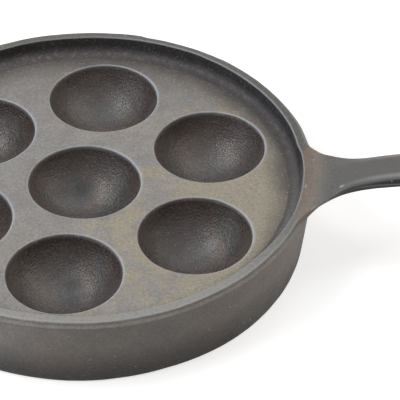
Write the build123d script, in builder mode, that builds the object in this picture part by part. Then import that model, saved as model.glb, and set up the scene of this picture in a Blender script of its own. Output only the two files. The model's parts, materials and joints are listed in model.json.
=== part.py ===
from build123d import *

import math
import os

# Aebleskiver pan: one iron casting, divided into the sections that a founder would name.
# The origin is on the stove, on the pan's axis. +X runs along the handle, +Z is up. Millimetres.

# Wells
ring_well_count = 6
well_mouth_radius = 28.2
well_depth = 24.5
well_wall = 3.5
well_web = 12.2  # iron between two neighbouring mouths
well_lip_radius = 1.0
well_clearance = 3.2  # from the stove to the lowest point of a well

# Deck and rim, from the outer wells to the widest circle
deck_margin = 6.3  # from the ring's mouths to the foot of the cove
deck_thickness = 4.0
cove_radius = 4.5
rim_draft = 0.7  # lean of the inner wall
rim_width = 4.7  # flat top
rim_lean = 1.5  # lean of the outer band above the parting line
rim_height = 9.8  # rim top above the deck
rim_band = 2.8  # height of the outer band above the parting line
edge_chamfer = 0.6

# Skirt
skirt_taper = 4.1  # from the widest circle to the foot
skirt_draft = 1.2  # lean of the inner wall
foot_width = 4.0
skirt_cove_radius = 3.0  # under the deck

# Handle
handle_length = 135.5  # from the widest circle to the tip
handle_rise = 16.5  # top of the grip above the rim
rise_start = 2.0  # inside the widest circle, where the handle begins to climb
rise_run = 59.5  # until it is level
handle_thickness = 9.3
handle_edge = 1.0  # bevel along the top
waist_width = 17.6
flare_reach = 16.5  # from the widest circle to where the flare's straight flanks would meet the waist
flare_softness = 5.8  # rounds the flanks into the waist
flank_slope_share = 0.8  # rise of a flank over its run
root_spread = 5.5  # added at each side where the flare meets the rim
root_fade = 4.0  # run in which that fades
root_inset = 5.5  # from the widest circle in to where the spread is full
root_side_height = 1.2  # from the top to the mould's parting line
grip_side_height = 4.9
side_start = 5.5  # from the widest circle out to where the side begins to deepen
side_run = 42.0
root_roundness_share = 0.05  # bulge of the lower corners over their chord
grip_roundness_share = 0.20
corner_run_share = 0.58  # of the half-width, taken by each lower corner
eye_spread = 8.4  # wider than the waist
eye_thickness = 7.5
eye_spread_start = 50.0  # from the widest circle out to where the grip begins to widen
hanging_hole_radius = 6.0
root_length = 13.5  # from the widest circle to where the flare counts as ended
eye_length = 35.0  # the end piece, back from the tip
seat_depth = 14.5  # how far the blank of the handle reaches into the rim
station_count = 28

# One overrun serves every cut
overrun = 5.0

# Heights
well_floor = well_clearance + well_wall
deck_top = well_floor + well_depth
deck_underside = deck_top - deck_thickness
pan_height = deck_top + rim_height
parting_height = pan_height - rim_band

# Radii, from the axis outwards
well_pitch_radius = 2 * well_mouth_radius + well_web
deck_radius = well_pitch_radius + well_mouth_radius + deck_margin
wall_foot_radius = deck_radius + cove_radius
rim_inner_radius = wall_foot_radius + rim_draft
rim_top_radius = rim_inner_radius + rim_width
outer_radius = rim_top_radius + rim_lean
foot_radius = outer_radius - skirt_taper
foot_inner_radius = foot_radius - foot_width
skirt_inner_radius = foot_inner_radius - skirt_draft
joint_radius = foot_radius + skirt_taper * deck_underside / parting_height

# The sphere that each well is part of
bowl_radius = (well_mouth_radius**2 + well_depth**2) / (2 * well_depth)
bowl_centre_height = well_floor + bowl_radius
shell_radius = bowl_radius + well_wall
shell_drop = bowl_centre_height - deck_underside
well_seat_radius = math.sqrt(shell_radius**2 - shell_drop**2)

# Handle places
waist_half_width = waist_width / 2
eye_half_width = (waist_width + eye_spread) / 2
handle_top = pan_height + handle_rise
handle_tip = outer_radius + handle_length
eye_centre = handle_tip - eye_half_width
root_end = outer_radius + root_length
eye_start = handle_tip - eye_length


def well_angles():
    """The ring's wells, the first one half a step past the handle's line."""
    step = 360 / ring_well_count
    return [step * (number + 0.5) for number in range(ring_well_count)]


def well_places():
    """Centres of the ring's wells."""
    places = []
    for angle in well_angles():
        turn = math.radians(angle)
        places.append((well_pitch_radius * math.cos(turn), well_pitch_radius * math.sin(turn)))
    return places


def arc_points(radius, end_height):
    """Start, middle and end of a well's arc in its section, from the axis out to a height."""
    end_turn = math.acos((bowl_centre_height - end_height) / radius)
    points = []
    for turn in (0, end_turn / 2, end_turn):
        points.append((radius * math.sin(turn), bowl_centre_height - radius * math.cos(turn)))
    return points


def make_well(place):
    """A half-round well with its lip, flush with the deck."""
    inner = arc_points(bowl_radius, deck_top)
    outer = arc_points(shell_radius, deck_underside)
    foot = (place[0], place[1], 0)
    with BuildPart() as well:
        with BuildSketch(Plane(origin=foot, x_dir=(1, 0, 0), z_dir=(0, -1, 0))) as section:
            with BuildLine():
                ThreePointArc(*inner)
                Polyline(inner[-1], (well_seat_radius, deck_top), outer[-1])
                ThreePointArc(*outer)
                Line(outer[0], inner[0])
            make_face()
            lip = section.vertices().sort_by_distance((inner[-1][0], inner[-1][1], 0))[0]
            fillet(lip, well_lip_radius)
        revolve(axis=Axis(foot, (0, 0, 1)))
    return well.part


def make_deck():
    """The flat plate between the wells."""
    with BuildPart() as deck:
        with BuildSketch(Plane.XY.offset(deck_underside)):
            Circle(deck_radius)
            with Locations((0, 0), *well_places()):
                Circle(well_seat_radius, mode=Mode.SUBTRACT)
        extrude(amount=deck_thickness)
    return deck.part


def make_rim():
    """Cove, inner wall, flat top and outer band."""
    cove_middle = (
        deck_radius + cove_radius * math.sin(math.radians(45)),
        deck_top + cove_radius - cove_radius * math.cos(math.radians(45)),
    )
    cove_end = (wall_foot_radius, deck_top + cove_radius)
    with BuildPart() as rim:
        with BuildSketch(Plane.XZ):
            with BuildLine():
                Line((deck_radius, deck_underside), (deck_radius, deck_top))
                ThreePointArc((deck_radius, deck_top), cove_middle, cove_end)
                Polyline(
                    cove_end,
                    (rim_inner_radius, pan_height - edge_chamfer),
                    (rim_inner_radius + edge_chamfer, pan_height),
                    (rim_top_radius - edge_chamfer, pan_height),
                    (rim_top_radius, pan_height - edge_chamfer),
                    (outer_radius, parting_height),
                    (joint_radius, deck_underside),
                    (deck_radius, deck_underside),
                )
            make_face()
        revolve(axis=Axis.Z)
    return rim.part


def make_skirt():
    """The side wall from the deck's underside down to the foot."""
    cove_start = (skirt_inner_radius, deck_underside - skirt_cove_radius)
    cove_middle = (
        skirt_inner_radius - skirt_cove_radius * (1 - math.cos(math.radians(45))),
        deck_underside - skirt_cove_radius * (1 - math.sin(math.radians(45))),
    )
    cove_end = (skirt_inner_radius - skirt_cove_radius, deck_underside)
    with BuildPart() as skirt:
        with BuildSketch(Plane.XZ):
            with BuildLine():
                ThreePointArc(cove_start, cove_middle, cove_end)
                Polyline(
                    cove_end,
                    (joint_radius, deck_underside),
                    (foot_radius, edge_chamfer),
                    (foot_radius - edge_chamfer, 0),
                    (foot_inner_radius, 0),
                    cove_start,
                )
            make_face()
        revolve(axis=Axis.Z)
    return skirt.part


def eased(place, start, run):
    """Goes smoothly from 0 at the start to 1 at the end of the run."""
    share = min(max((place - start) / run, 0), 1)
    return share * share * (3 - 2 * share)


def top_height(place):
    """Height of the handle's top: a quarter sine from the rim up to the level grip."""
    start = outer_radius - rise_start
    share = min(max((place - start) / rise_run, 0), 1)
    return pan_height + handle_rise * math.sin(share * math.pi / 2)


def half_width_at(place):
    """Half the handle's width: straight flanks rounded into the waist, then the eye's spread."""
    ahead = outer_radius + flare_reach - place
    flank = flank_slope_share * (math.hypot(ahead, flare_softness) + ahead) / 2
    past_root = max(place - (outer_radius - root_inset), 0)
    foot = root_spread * math.exp(-past_root / root_fade)
    spread_start = outer_radius + eye_spread_start
    spread = eased(place, spread_start, eye_centre - spread_start)
    return waist_half_width * (1 - spread) + eye_half_width * spread + (flank + foot) * (1 - spread)


def depths_at(place):
    """Side height, thickness and lower corners' roundness."""
    deepened = eased(place, outer_radius + side_start, side_run)
    thinned = eased(place, outer_radius + eye_spread_start, eye_centre - outer_radius - eye_spread_start)
    thickness = handle_thickness + (eye_thickness - handle_thickness) * thinned
    side = root_side_height + (grip_side_height - root_side_height) * deepened
    # The side thins with the handle
    side *= thickness / handle_thickness
    roundness = root_roundness_share + (grip_roundness_share - root_roundness_share) * deepened
    return side, thickness, roundness


def half_outline(place):
    """Right half of the section at a place: bevel, side, then the lower corner's start, middle and end."""
    half_width = half_width_at(place)
    side, thickness, roundness = depths_at(place)
    run = corner_run_share * half_width
    start = (half_width, -side)
    end = (half_width - run, -thickness)
    # The corner bulges square to its chord, away from the section's middle
    middle = (
        (start[0] + end[0]) / 2 + roundness * (thickness - side),
        (start[1] + end[1]) / 2 - roundness * run,
    )
    return (half_width - handle_edge, 0), (half_width, -handle_edge), start, middle, end


def mirrored(point):
    """The same point on the section's left side."""
    return -point[0], point[1]


def section_plane(place):
    """The plane of a section, square to +X, with its origin on the handle's top."""
    return Plane(origin=(place, 0, top_height(place)), x_dir=(0, 1, 0), z_dir=(1, 0, 0))


def handle_section(place):
    """A closed section of the handle."""
    upper, shoulder, start, middle, end = half_outline(place)
    with BuildSketch(section_plane(place)) as section:
        with BuildLine():
            Polyline(mirrored(start), mirrored(shoulder), mirrored(upper), upper, shoulder, start)
            ThreePointArc(start, middle, end)
            Line(end, mirrored(end))
            ThreePointArc(mirrored(end), mirrored(middle), mirrored(start))
        make_face()
    return section.sketch


def handle_sections():
    """Evenly spaced sections, from inside the rim to the eye's centre."""
    first = outer_radius - seat_depth
    step = (eye_centre - first) / (station_count - 1)
    return [handle_section(first + step * number) for number in range(station_count)]


def make_handle_blank():
    """The whole handle, still reaching into the rim, with its round end and hanging hole."""
    upper, shoulder, start, middle, end = half_outline(eye_centre)
    with BuildPart() as blank:
        loft(sections=handle_sections())
        with BuildSketch(section_plane(eye_centre)):
            with BuildLine():
                Polyline((0, 0), upper, shoulder, start)
                ThreePointArc(start, middle, end)
                Polyline(end, (0, -eye_thickness), (0, 0))
            make_face()
        revolve(axis=Axis((eye_centre, 0, 0), (0, 0, -1)), revolution_arc=180)
        with BuildSketch(Plane.XY.offset(handle_top + overrun)):
            with Locations((eye_centre, 0)):
                Circle(hanging_hole_radius)
        extrude(amount=-(eye_thickness + 2 * overrun), mode=Mode.SUBTRACT)
    return blank.part


def make_pan_blank():
    """The pan's outside as one solid, which the handle's root is cut to."""
    with BuildPart() as blank:
        with BuildSketch(Plane.XZ):
            with BuildLine():
                Polyline(
                    (0, 0),
                    (foot_radius, 0),
                    (outer_radius, parting_height),
                    (rim_top_radius, pan_height - edge_chamfer),
                    (rim_top_radius - edge_chamfer, pan_height),
                    (rim_top_radius - edge_chamfer, pan_height + overrun),
                    (0, pan_height + overrun),
                    (0, 0),
                )
            make_face()
        revolve(axis=Axis.Z)
    return blank.part


def make_handle_root(blank):
    """The flare that leaves the rim, seated on the outer band."""
    with BuildPart() as root:
        add(blank)
        split(bisect_by=Plane.YZ.offset(root_end), keep=Keep.BOTTOM)
        add(make_pan_blank(), mode=Mode.SUBTRACT)
    return root.part


def make_handle_grip(blank):
    """The narrow bar between the flare and the eye."""
    with BuildPart() as grip:
        add(blank)
        split(bisect_by=Plane.YZ.offset(root_end), keep=Keep.TOP)
        split(bisect_by=Plane.YZ.offset(eye_start), keep=Keep.BOTTOM)
    return grip.part


def make_handle_eye(blank):
    """The rounded end with the hanging hole."""
    with BuildPart() as eye:
        add(blank)
        split(bisect_by=Plane.YZ.offset(eye_start), keep=Keep.TOP)
    return eye.part


def write(part, name):
    """Labels a finished section and writes its file."""
    part.label = name
    export_step(part, f"parts/{name}.step")


os.makedirs("parts", exist_ok=True)

write(make_deck(), "deck")
write(make_rim(), "rim")
write(make_skirt(), "skirt")
write(make_well((0, 0)), "well_centre")
for number, place in enumerate(well_places(), start=1):
    write(make_well(place), f"well_{number}")

handle_blank = make_handle_blank()
write(make_handle_root(handle_blank), "handle_root")
write(make_handle_grip(handle_blank), "handle_grip")
write(make_handle_eye(handle_blank), "handle_eye")
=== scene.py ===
"""The looks of the aebleskiver pan: one iron casting with seven half-round wells, a rim and a long handle.

Metres throughout. The origin is on the stove on the pan's axis, +X runs along the handle and +Z is up.
"""

import json
import logging
import math
from dataclasses import dataclass, field
from enum import Enum
from functools import cached_property
from typing import Any, Callable, Iterable, Optional, Sequence, Union

import bmesh
import bpy
from mathutils import Matrix, Vector


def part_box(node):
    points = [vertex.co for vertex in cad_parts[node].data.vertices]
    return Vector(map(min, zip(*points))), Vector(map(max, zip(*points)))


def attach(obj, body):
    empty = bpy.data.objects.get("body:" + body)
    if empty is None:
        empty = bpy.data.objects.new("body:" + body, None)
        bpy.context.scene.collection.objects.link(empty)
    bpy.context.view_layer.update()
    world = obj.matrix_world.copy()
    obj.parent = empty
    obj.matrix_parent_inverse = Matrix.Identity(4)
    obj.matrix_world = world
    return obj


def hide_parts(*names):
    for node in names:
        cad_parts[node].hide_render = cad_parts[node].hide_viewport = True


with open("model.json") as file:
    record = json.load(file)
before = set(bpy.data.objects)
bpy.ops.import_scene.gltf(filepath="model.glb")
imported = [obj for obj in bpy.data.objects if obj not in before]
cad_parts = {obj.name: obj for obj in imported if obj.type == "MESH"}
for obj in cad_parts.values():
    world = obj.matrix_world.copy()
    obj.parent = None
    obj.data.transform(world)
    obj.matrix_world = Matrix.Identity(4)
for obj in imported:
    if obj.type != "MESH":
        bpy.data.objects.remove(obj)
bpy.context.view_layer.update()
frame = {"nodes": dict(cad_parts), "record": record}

log = logging.getLogger("pan")

Piece = bpy.types.Object
Socket = bpy.types.NodeSocket
Point = tuple[float, float, float]
RowPoint = tuple[float, float]
MM = 0.001
# How near two places count as one: when they are looked up, when they are merged, and by turn in radians
NEAR = 0.0001
MERGE = 0.00001
TURN_SLACK = 0.001
# A neighbour that lies less far ahead than this is beside or behind
LEAST_GAP = 1e-9
# Sockets of the node that mixes two colours
MIX_SHARE = 0
MIX_FIRST = 6
MIX_SECOND = 7
MIX_COLOUR = 2


class Slot(Enum):
    """The record's material slots."""

    SEASONED = "seasoned_iron"
    WELL = "well_iron"


class Mark(Enum):
    """The numbers stored on the meshes, which the finishes read."""

    # Rubbed wear, which also carries painted highlights on the rim's edges, the handle's shoulders and root
    # edges and the mouths' right sides
    WEAR = "wear"
    SOOT = "soot"
    # Painted highlight along the rim's inner edge
    LIP = "lip"
    # Painted light on a bowl's left and lower right sides
    FLANK = "flank"
    # Painted shade on a bowl's far side
    HOOD = "hood"


class Pick(Enum):
    """What edit mode selects."""

    POINTS = "VERT"
    EDGES = "EDGE"
    FACES = "FACE"


def between(value: float, none: float, full: float) -> float:
    """How far a value has come from one number, which gives 0, to another, which gives 1."""
    return min(max((value - none) / (full - none), 0.0), 1.0)


def eased(place: float, start: float, run: float) -> float:
    """Goes smoothly from 0 to 1, from a start over a run."""
    share = between(place, start, start + run)
    return share * share * (3 - 2 * share)


def polar(radius: float, turn: float, centre: RowPoint = (0.0, 0.0)) -> RowPoint:
    """The place at a distance and a turn, in radians, from a centre."""
    return centre[0] + radius * math.cos(turn), centre[1] + radius * math.sin(turn)


def off_axis(place: Vector) -> float:
    """A point's distance from the pan's axis."""
    return math.hypot(place.x, place.y)


# Tools of the bench


class Bench:
    """Edit-mode tools, used on one piece at a time."""

    @staticmethod
    def clear() -> None:
        """Leaves edit mode with nothing selected."""
        if bpy.context.object is not None and bpy.context.object.mode != "OBJECT":
            bpy.ops.object.mode_set(mode="OBJECT")
        bpy.ops.object.select_all(action="DESELECT")

    @staticmethod
    def take(piece: Piece) -> None:
        """Selects one piece and makes it active.

        Args:
            piece: The piece to work on.
        """
        Bench.clear()
        piece.select_set(True)
        bpy.context.view_layer.objects.active = piece

    @staticmethod
    def edit(piece: Piece, pick: Pick = Pick.POINTS, everything: bool = False) -> bmesh.types.BMesh:
        """Enters edit mode on one piece.

        Args:
            piece: The piece.
            pick: What is selected.
            everything: Whether all of it is selected at the start, or nothing.

        Returns:
            The mesh as it is edited.
        """
        Bench.take(piece)
        bpy.ops.object.mode_set(mode="EDIT")
        bpy.ops.mesh.select_mode(type=pick.value)
        bpy.ops.mesh.select_all(action="SELECT" if everything else "DESELECT")
        shape = bmesh.from_edit_mesh(piece.data)
        shape.verts.ensure_lookup_table()
        return shape

    @staticmethod
    def strand(name: str, places: Sequence[Point], closed: bool = True) -> Piece:
        """Adds a circle primitive with a vertex for each place, and puts each vertex there.

        Args:
            name: The piece's name.
            places: The places, in order along the line.
            closed: Whether the last place joins the first.

        Returns:
            The line as an object with edges only.
        """
        Bench.clear()
        bpy.ops.mesh.primitive_circle_add(vertices=len(places), radius=1.0)
        piece = bpy.context.object
        piece.name = piece.data.name = name
        for vertex, place in zip(piece.data.vertices, places):
            vertex.co = place
        if not closed:
            ends = {0, len(places) - 1}
            for edge in piece.data.edges:
                edge.select = set(edge.vertices) == ends
            for vertex in piece.data.vertices:
                vertex.select = vertex.index in ends
            bpy.ops.object.mode_set(mode="EDIT")
            bpy.ops.mesh.delete(type="EDGE")
            bpy.ops.object.mode_set(mode="OBJECT")
        return piece

    @staticmethod
    def turned(
        name: str, section: Sequence[RowPoint], steps: int, closed: bool = True, across: float = 0.0
    ) -> Piece:
        """Turns a section once round an upright axis.

        Args:
            name: The piece's name.
            section: The section's points, by radius and height.
            steps: Faces round the turn.
            closed: Whether the section's last point joins its first.
            across: How far along the handle the axis stands.

        Returns:
            The closed piece.
        """
        piece = Bench.strand(name, [(across + radius, 0.0, height) for radius, height in section], closed)
        Bench.edit(piece, everything=True)
        bpy.ops.mesh.spin(steps=steps, angle=math.tau, center=(across, 0.0, 0.0), axis=(0.0, 0.0, 1.0))
        Bench.tidy(piece)
        return piece

    @staticmethod
    def extrude_through(
        piece: Piece, loop: Sequence[int], rings: Iterable[Sequence[Point]]
    ) -> list[list[int]]:
        """Extrudes an open loop through rings of places, one ring at a time.

        Args:
            piece: The piece that has the loop.
            loop: The loop's vertex numbers, in order round it.
            rings: Places for each new ring, in the loop's order.

        Returns:
            The vertex numbers of each new ring, in the loop's order.
        """
        count = len(loop)
        order = sorted(range(count), key=lambda position: loop[position])
        shape = Bench.edit(piece)
        members = set(loop)
        for number in loop:
            shape.verts[number].select = True
        for edge in shape.edges:
            on_loop = edge.verts[0].index in members and edge.verts[1].index in members
            edge.select = on_loop and len(edge.link_faces) < 2
        bmesh.update_edit_mesh(piece.data)
        bpy.ops.mesh.select_mode(type="EDGE")
        made: list[list[int]] = []
        for places in rings:
            bpy.ops.mesh.extrude_region_move(TRANSFORM_OT_translate={"value": (0.0, 0.0, 0.0)})
            shape = bmesh.from_edit_mesh(piece.data)
            shape.verts.ensure_lookup_table()
            total = len(shape.verts)
            ring = [0] * count
            for offset, position in enumerate(order):
                ring[position] = total - count + offset
                shape.verts[total - count + offset].co = places[position]
            bmesh.update_edit_mesh(piece.data)
            made.append(ring)
        bpy.ops.object.mode_set(mode="OBJECT")
        return made

    @staticmethod
    def select_faces(piece: Piece, test: Callable[[Vector, Vector], bool]) -> None:
        """Selects faces by their place and normal, and enters edit mode.

        Args:
            piece: The piece.
            test: Takes a face's centre and normal, and says whether it is meant.
        """
        shape = Bench.edit(piece, Pick.FACES)
        for face in shape.faces:
            face.select = test(face.calc_center_median(), face.normal)
        shape.select_flush_mode()
        bmesh.update_edit_mesh(piece.data)

    @staticmethod
    def open_loops(piece: Piece) -> list[list[int]]:
        """Finds the loops of edges that have only one face.

        Args:
            piece: The piece, in object mode.

        Returns:
            Vertex numbers of each loop, in order round it.
        """
        shape = bmesh.new()
        shape.from_mesh(piece.data)
        after: dict[int, list[int]] = {}
        for edge in shape.edges:
            if len(edge.link_faces) == 1:
                first, second = edge.verts[0].index, edge.verts[1].index
                after.setdefault(first, []).append(second)
                after.setdefault(second, []).append(first)
        shape.free()
        loops: list[list[int]] = []
        left = set(after)
        while left:
            loop = [min(left)]
            left.discard(loop[0])
            while True:
                onward = [number for number in after[loop[-1]] if number in left]
                if not onward:
                    break
                loop.append(onward[0])
                left.discard(onward[0])
            loops.append(loop)
        return loops

    @staticmethod
    def sharpen(piece: Piece, points: set[int]) -> None:
        """Keeps the edges between some points sharp when the piece is subdivided.

        Args:
            piece: The piece.
            points: The points' vertex numbers.
        """
        shape = Bench.edit(piece, Pick.EDGES)
        for edge in shape.edges:
            edge.select = edge.verts[0].index in points and edge.verts[1].index in points
        bmesh.update_edit_mesh(piece.data)
        bpy.ops.transform.edge_crease(value=1.0)
        bpy.ops.object.mode_set(mode="OBJECT")

    @staticmethod
    def tidy(piece: Piece, threshold: float = MERGE) -> None:
        """Merges doubled points and turns every face outwards.

        Args:
            piece: The piece.
            threshold: How near two points are merged.
        """
        Bench.edit(piece, everything=True)
        bpy.ops.mesh.remove_doubles(threshold=threshold)
        bpy.ops.mesh.normals_make_consistent(inside=False)
        bpy.ops.object.mode_set(mode="OBJECT")

    @staticmethod
    def apply(piece: Piece, kind: str, **settings: Any) -> None:
        """Adds a modifier with its settings and applies it.

        Args:
            piece: The piece.
            kind: The modifier's type.
            **settings: The modifier's values by name.
        """
        Bench.take(piece)
        modifier = piece.modifiers.new(kind.lower(), kind)
        for name, value in settings.items():
            setattr(modifier, name, value)
        bpy.ops.object.modifier_apply(modifier=modifier.name)

    @staticmethod
    def subdivide(piece: Piece, levels: int) -> None:
        """Applies a subdivision surface that divides each face so many times."""
        Bench.apply(piece, "SUBSURF", levels=levels, render_levels=levels, boundary_smooth="PRESERVE_CORNERS")

    @staticmethod
    def mark(piece: Piece, mark: Mark, amount: Callable[[Vector], float]) -> None:
        """Stores a number from 0 to 1 for each point, for the finish to read."""
        layer = piece.data.attributes.new(mark.value, "FLOAT", "POINT")
        layer.data.foreach_set("value", [amount(vertex.co) for vertex in piece.data.vertices])

    @staticmethod
    def stand(piece: Piece) -> None:
        """Brings points that lie below the stove's face up to it."""
        for vertex in piece.data.vertices:
            vertex.co.z = max(vertex.co.z, 0.0)

    @staticmethod
    def smooth(piece: Piece, degrees: float = 40.0) -> None:
        """Shades a piece smooth, apart from edges sharper than an angle in degrees."""
        Bench.take(piece)
        bpy.ops.object.shade_smooth_by_angle(angle=math.radians(degrees))


@dataclass(frozen=True)
class CastSurface:
    """The slow unevenness of sand-cast iron, the same for all pieces so that their seams still meet.

    Attributes:
        long_wave: Length of the broad waves.
        long_reach: How far the broad waves move a point.
        short_wave: Length of the small waves.
        short_reach: How far the small waves move a point.
    """

    long_wave: float = 0.045
    long_reach: float = 0.0007
    short_wave: float = 0.009
    short_reach: float = 0.00022

    def lay_on(self, piece: Piece) -> None:
        """Moves every point of a piece by its place alone.

        Args:
            piece: The piece.
        """
        for label, wave, reach in (
            ("long", self.long_wave, self.long_reach),
            ("short", self.short_wave, self.short_reach),
        ):
            name = f"cast_{label}_waves"
            texture = bpy.data.textures.get(name)
            if texture is None:
                texture = bpy.data.textures.new(name, "CLOUDS")
                texture.cloud_type = "COLOR"
                texture.noise_scale = wave
                texture.noise_depth = 1
            Bench.apply(
                piece,
                "DISPLACE",
                texture=texture,
                texture_coords="LOCAL",
                direction="RGB_TO_XYZ",
                strength=reach,
                mid_level=0.5,
            )


# Sizes


@dataclass(frozen=True)
class PanSizes:
    """Sizes shared by the sections of the casting. Those with no value here are read off the solids.

    Attributes:
        deck_top: Height of the deck's top.
        deck_underside: Height of the deck's underside.
        rim_top: Height of the rim's top.
        outer_radius: Largest radius, at the parting line.
        cove_start: Radius where the cove leaves the deck.
        well_bottom: Height of a well's lowest point outside.
        pitch_radius: Radius of the circle that the outer wells stand on.
        ring_wells: Wells on that circle.
        web: Metal between two neighbouring mouths.
        wall: Thickness of a well's wall.
        cove: Radius of the cove's arc.
        rim_draft: Lean of the rim's inner wall.
        rim_width: Width of the rim's flat top.
        rim_band: From the rim's top down to the parting line.
        skirt_taper: From the largest radius in to the foot's.
        foot_width: Width of the ring that stands on the stove.
        skirt_draft: Lean of the side wall's inner face.
        skirt_cove: Rounding between the side wall's inner face and the deck's underside.
        seam_inset: From the cove's start in to where the wall meets the deck plate.
        groove: From the deck's top down to the wall's seam, which leaves a groove beside the cove.
        lip_depth: From the deck's top down to where a bowl takes over from the lip.
        seat_width: From a mouth's radius out to that of the plate's hole below the lip.
        turn_steps: Faces round a well and round the rim.
    """

    deck_top: float
    deck_underside: float
    rim_top: float
    outer_radius: float
    cove_start: float
    well_bottom: float
    pitch_radius: float
    ring_wells: int
    web: float = 0.0122
    wall: float = 0.0035
    cove: float = 0.0045
    rim_draft: float = 0.0007
    rim_width: float = 0.0047
    rim_band: float = 0.0028
    skirt_taper: float = 0.0041
    foot_width: float = 0.0040
    skirt_draft: float = 0.0012
    skirt_cove: float = 0.0030
    seam_inset: float = 0.0009
    groove: float = 0.0003
    lip_depth: float = 0.00205
    seat_width: float = 0.0034
    turn_steps: int = 96

    @classmethod
    def from_frame(cls) -> "PanSizes":
        """Reads the driving sizes off the solids' boxes.

        Returns:
            The sizes.
        """
        deck_low, deck_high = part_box("deck")
        _, rim_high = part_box("rim")
        well_low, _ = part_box("well_centre")
        ring_low, ring_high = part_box("well_2")
        wells = [name for name in frame["nodes"] if name.startswith("well_")]
        return cls(
            deck_top=deck_high.z,
            deck_underside=deck_low.z,
            rim_top=rim_high.z,
            outer_radius=rim_high.x,
            cove_start=deck_high.x,
            well_bottom=well_low.z,
            pitch_radius=(ring_low.y + ring_high.y) / 2,
            ring_wells=len(wells) - 1,
        )

    @property
    def mouth_radius(self) -> float:
        """Radius of a well's mouth. Neighbours on the ring are as far apart as the ring's radius."""
        return (self.pitch_radius - self.web) / 2

    @property
    def inner_radius(self) -> float:
        """Radius of the rim's inner edge."""
        return self.cove_start + self.cove + self.rim_draft

    @property
    def top_radius(self) -> float:
        """Radius of the rim's outer edge."""
        return self.inner_radius + self.rim_width

    @property
    def parting(self) -> float:
        """Height of the mould's parting line round the outside."""
        return self.rim_top - self.rim_band

    @property
    def foot_radius(self) -> float:
        """Outer radius of the foot."""
        return self.outer_radius - self.skirt_taper

    @property
    def foot_inner_radius(self) -> float:
        """Inner radius of the foot."""
        return self.foot_radius - self.foot_width

    @property
    def skirt_inner_radius(self) -> float:
        """Inner radius of the side wall under the deck."""
        return self.foot_inner_radius - self.skirt_draft

    @property
    def seam_radius(self) -> float:
        """Radius where the wall meets the deck plate."""
        return self.cove_start - self.seam_inset

    @property
    def seat_radius(self) -> float:
        """Radius of the plate's hole below a lip."""
        return self.mouth_radius + self.seat_width

    @property
    def ledge(self) -> float:
        """Height where a bowl takes over from the lip."""
        return self.deck_top - self.lip_depth

    @property
    def well_floor(self) -> float:
        """Height of a well's lowest point inside."""
        return self.well_bottom + self.wall

    @property
    def bowl_radius(self) -> float:
        """Radius of the sphere that a well is part of."""
        depth = self.deck_top - self.well_floor
        return (self.mouth_radius**2 + depth**2) / (2 * depth)

    @property
    def bowl_height(self) -> float:
        """Height of that sphere's centre."""
        return self.well_floor + self.bowl_radius

    @property
    def turns(self) -> list[float]:
        """Where the points of a spun circle stand, in radians."""
        return [math.tau * step / self.turn_steps for step in range(self.turn_steps)]

    def well_places(self) -> list[RowPoint]:
        """Centres of the wells.

        Returns:
            The middle one, then the ring's, anticlockwise from the far one beside the handle.
        """
        places = [(0.0, 0.0)]
        for number in range(self.ring_wells):
            places.append(polar(self.pitch_radius, math.tau * (number + 0.5) / self.ring_wells))
        return places

    def bowl_radius_at(self, height: float) -> float:
        """A well's inner radius at a height."""
        return math.sqrt(self.bowl_radius**2 - (self.bowl_height - height) ** 2)


# Shader expressions


class Signal:
    """A number that varies over a surface. Sums on it add Math nodes."""

    def __init__(self, graph: "Graph", socket: Socket) -> None:
        """Wraps an output socket of a graph."""
        self.graph = graph
        self.socket = socket

    def operate(self, operation: str, *others: "Number", swapped: bool = False) -> "Signal":
        """Adds a Math node.

        Args:
            operation: The node's operation.
            *others: The further numbers or signals.
            swapped: Whether this signal comes second.

        Returns:
            The result.
        """
        parts: list[Number] = [self, *others]
        if swapped:
            parts[0], parts[1] = parts[1], parts[0]
        node = self.graph.node("ShaderNodeMath", {"operation": operation}, dict(enumerate(parts)))
        return Signal(self.graph, node.outputs[0])

    def __add__(self, other: "Number") -> "Signal":
        """Sum."""
        return self.operate("ADD", other)

    __radd__ = __add__

    def __sub__(self, other: "Number") -> "Signal":
        """Difference."""
        return self.operate("SUBTRACT", other)

    def __rsub__(self, other: "Number") -> "Signal":
        """Difference from a number."""
        return self.operate("SUBTRACT", other, swapped=True)

    def __mul__(self, other: "Number") -> "Signal":
        """Product."""
        return self.operate("MULTIPLY", other)

    __rmul__ = __mul__

    def __truediv__(self, other: "Number") -> "Signal":
        """Quotient."""
        return self.operate("DIVIDE", other)

    def __rtruediv__(self, other: "Number") -> "Signal":
        """Quotient of a number."""
        return self.operate("DIVIDE", other, swapped=True)

    def __pow__(self, other: "Number") -> "Signal":
        """Power."""
        return self.operate("POWER", other)

    def least(self, other: "Number") -> "Signal":
        """The smaller of two."""
        return self.operate("MINIMUM", other)

    def most(self, other: "Number") -> "Signal":
        """The larger of two."""
        return self.operate("MAXIMUM", other)

    def size(self) -> "Signal":
        """The value without its sign."""
        return self.operate("ABSOLUTE")

    def ramp(self, low: float, high: float) -> "Signal":
        """Goes smoothly from 0 at one value to 1 at another.

        Args:
            low: The value that gives 0.
            high: The value that gives 1. It may be the smaller of the two.

        Returns:
            The share from 0 to 1.
        """
        flipped = high < low
        node = self.graph.node(
            "ShaderNodeMapRange",
            {"interpolation_type": "SMOOTHSTEP"},
            {
                "Value": self,
                "From Min": min(low, high),
                "From Max": max(low, high),
                "To Min": 1.0 if flipped else 0.0,
                "To Max": 0.0 if flipped else 1.0,
            },
        )
        return Signal(self.graph, node.outputs["Result"])


Number = Union[Signal, float]
Colour = tuple[float, float, float]
WHITE: Colour = (1.0, 1.0, 1.0)


def paint(red: int, green: int, blue: int) -> Colour:
    """Turns a colour as seen on a screen into light.

    Args:
        red: Red, 0 to 255.
        green: Green, 0 to 255.
        blue: Blue, 0 to 255.

    Returns:
        The three linear values.
    """

    def linear(value: int) -> float:
        """One channel as light."""
        share = value / 255
        return share / 12.92 if share <= 0.04045 else ((share + 0.055) / 1.055) ** 2.4

    return linear(red), linear(green), linear(blue)


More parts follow.
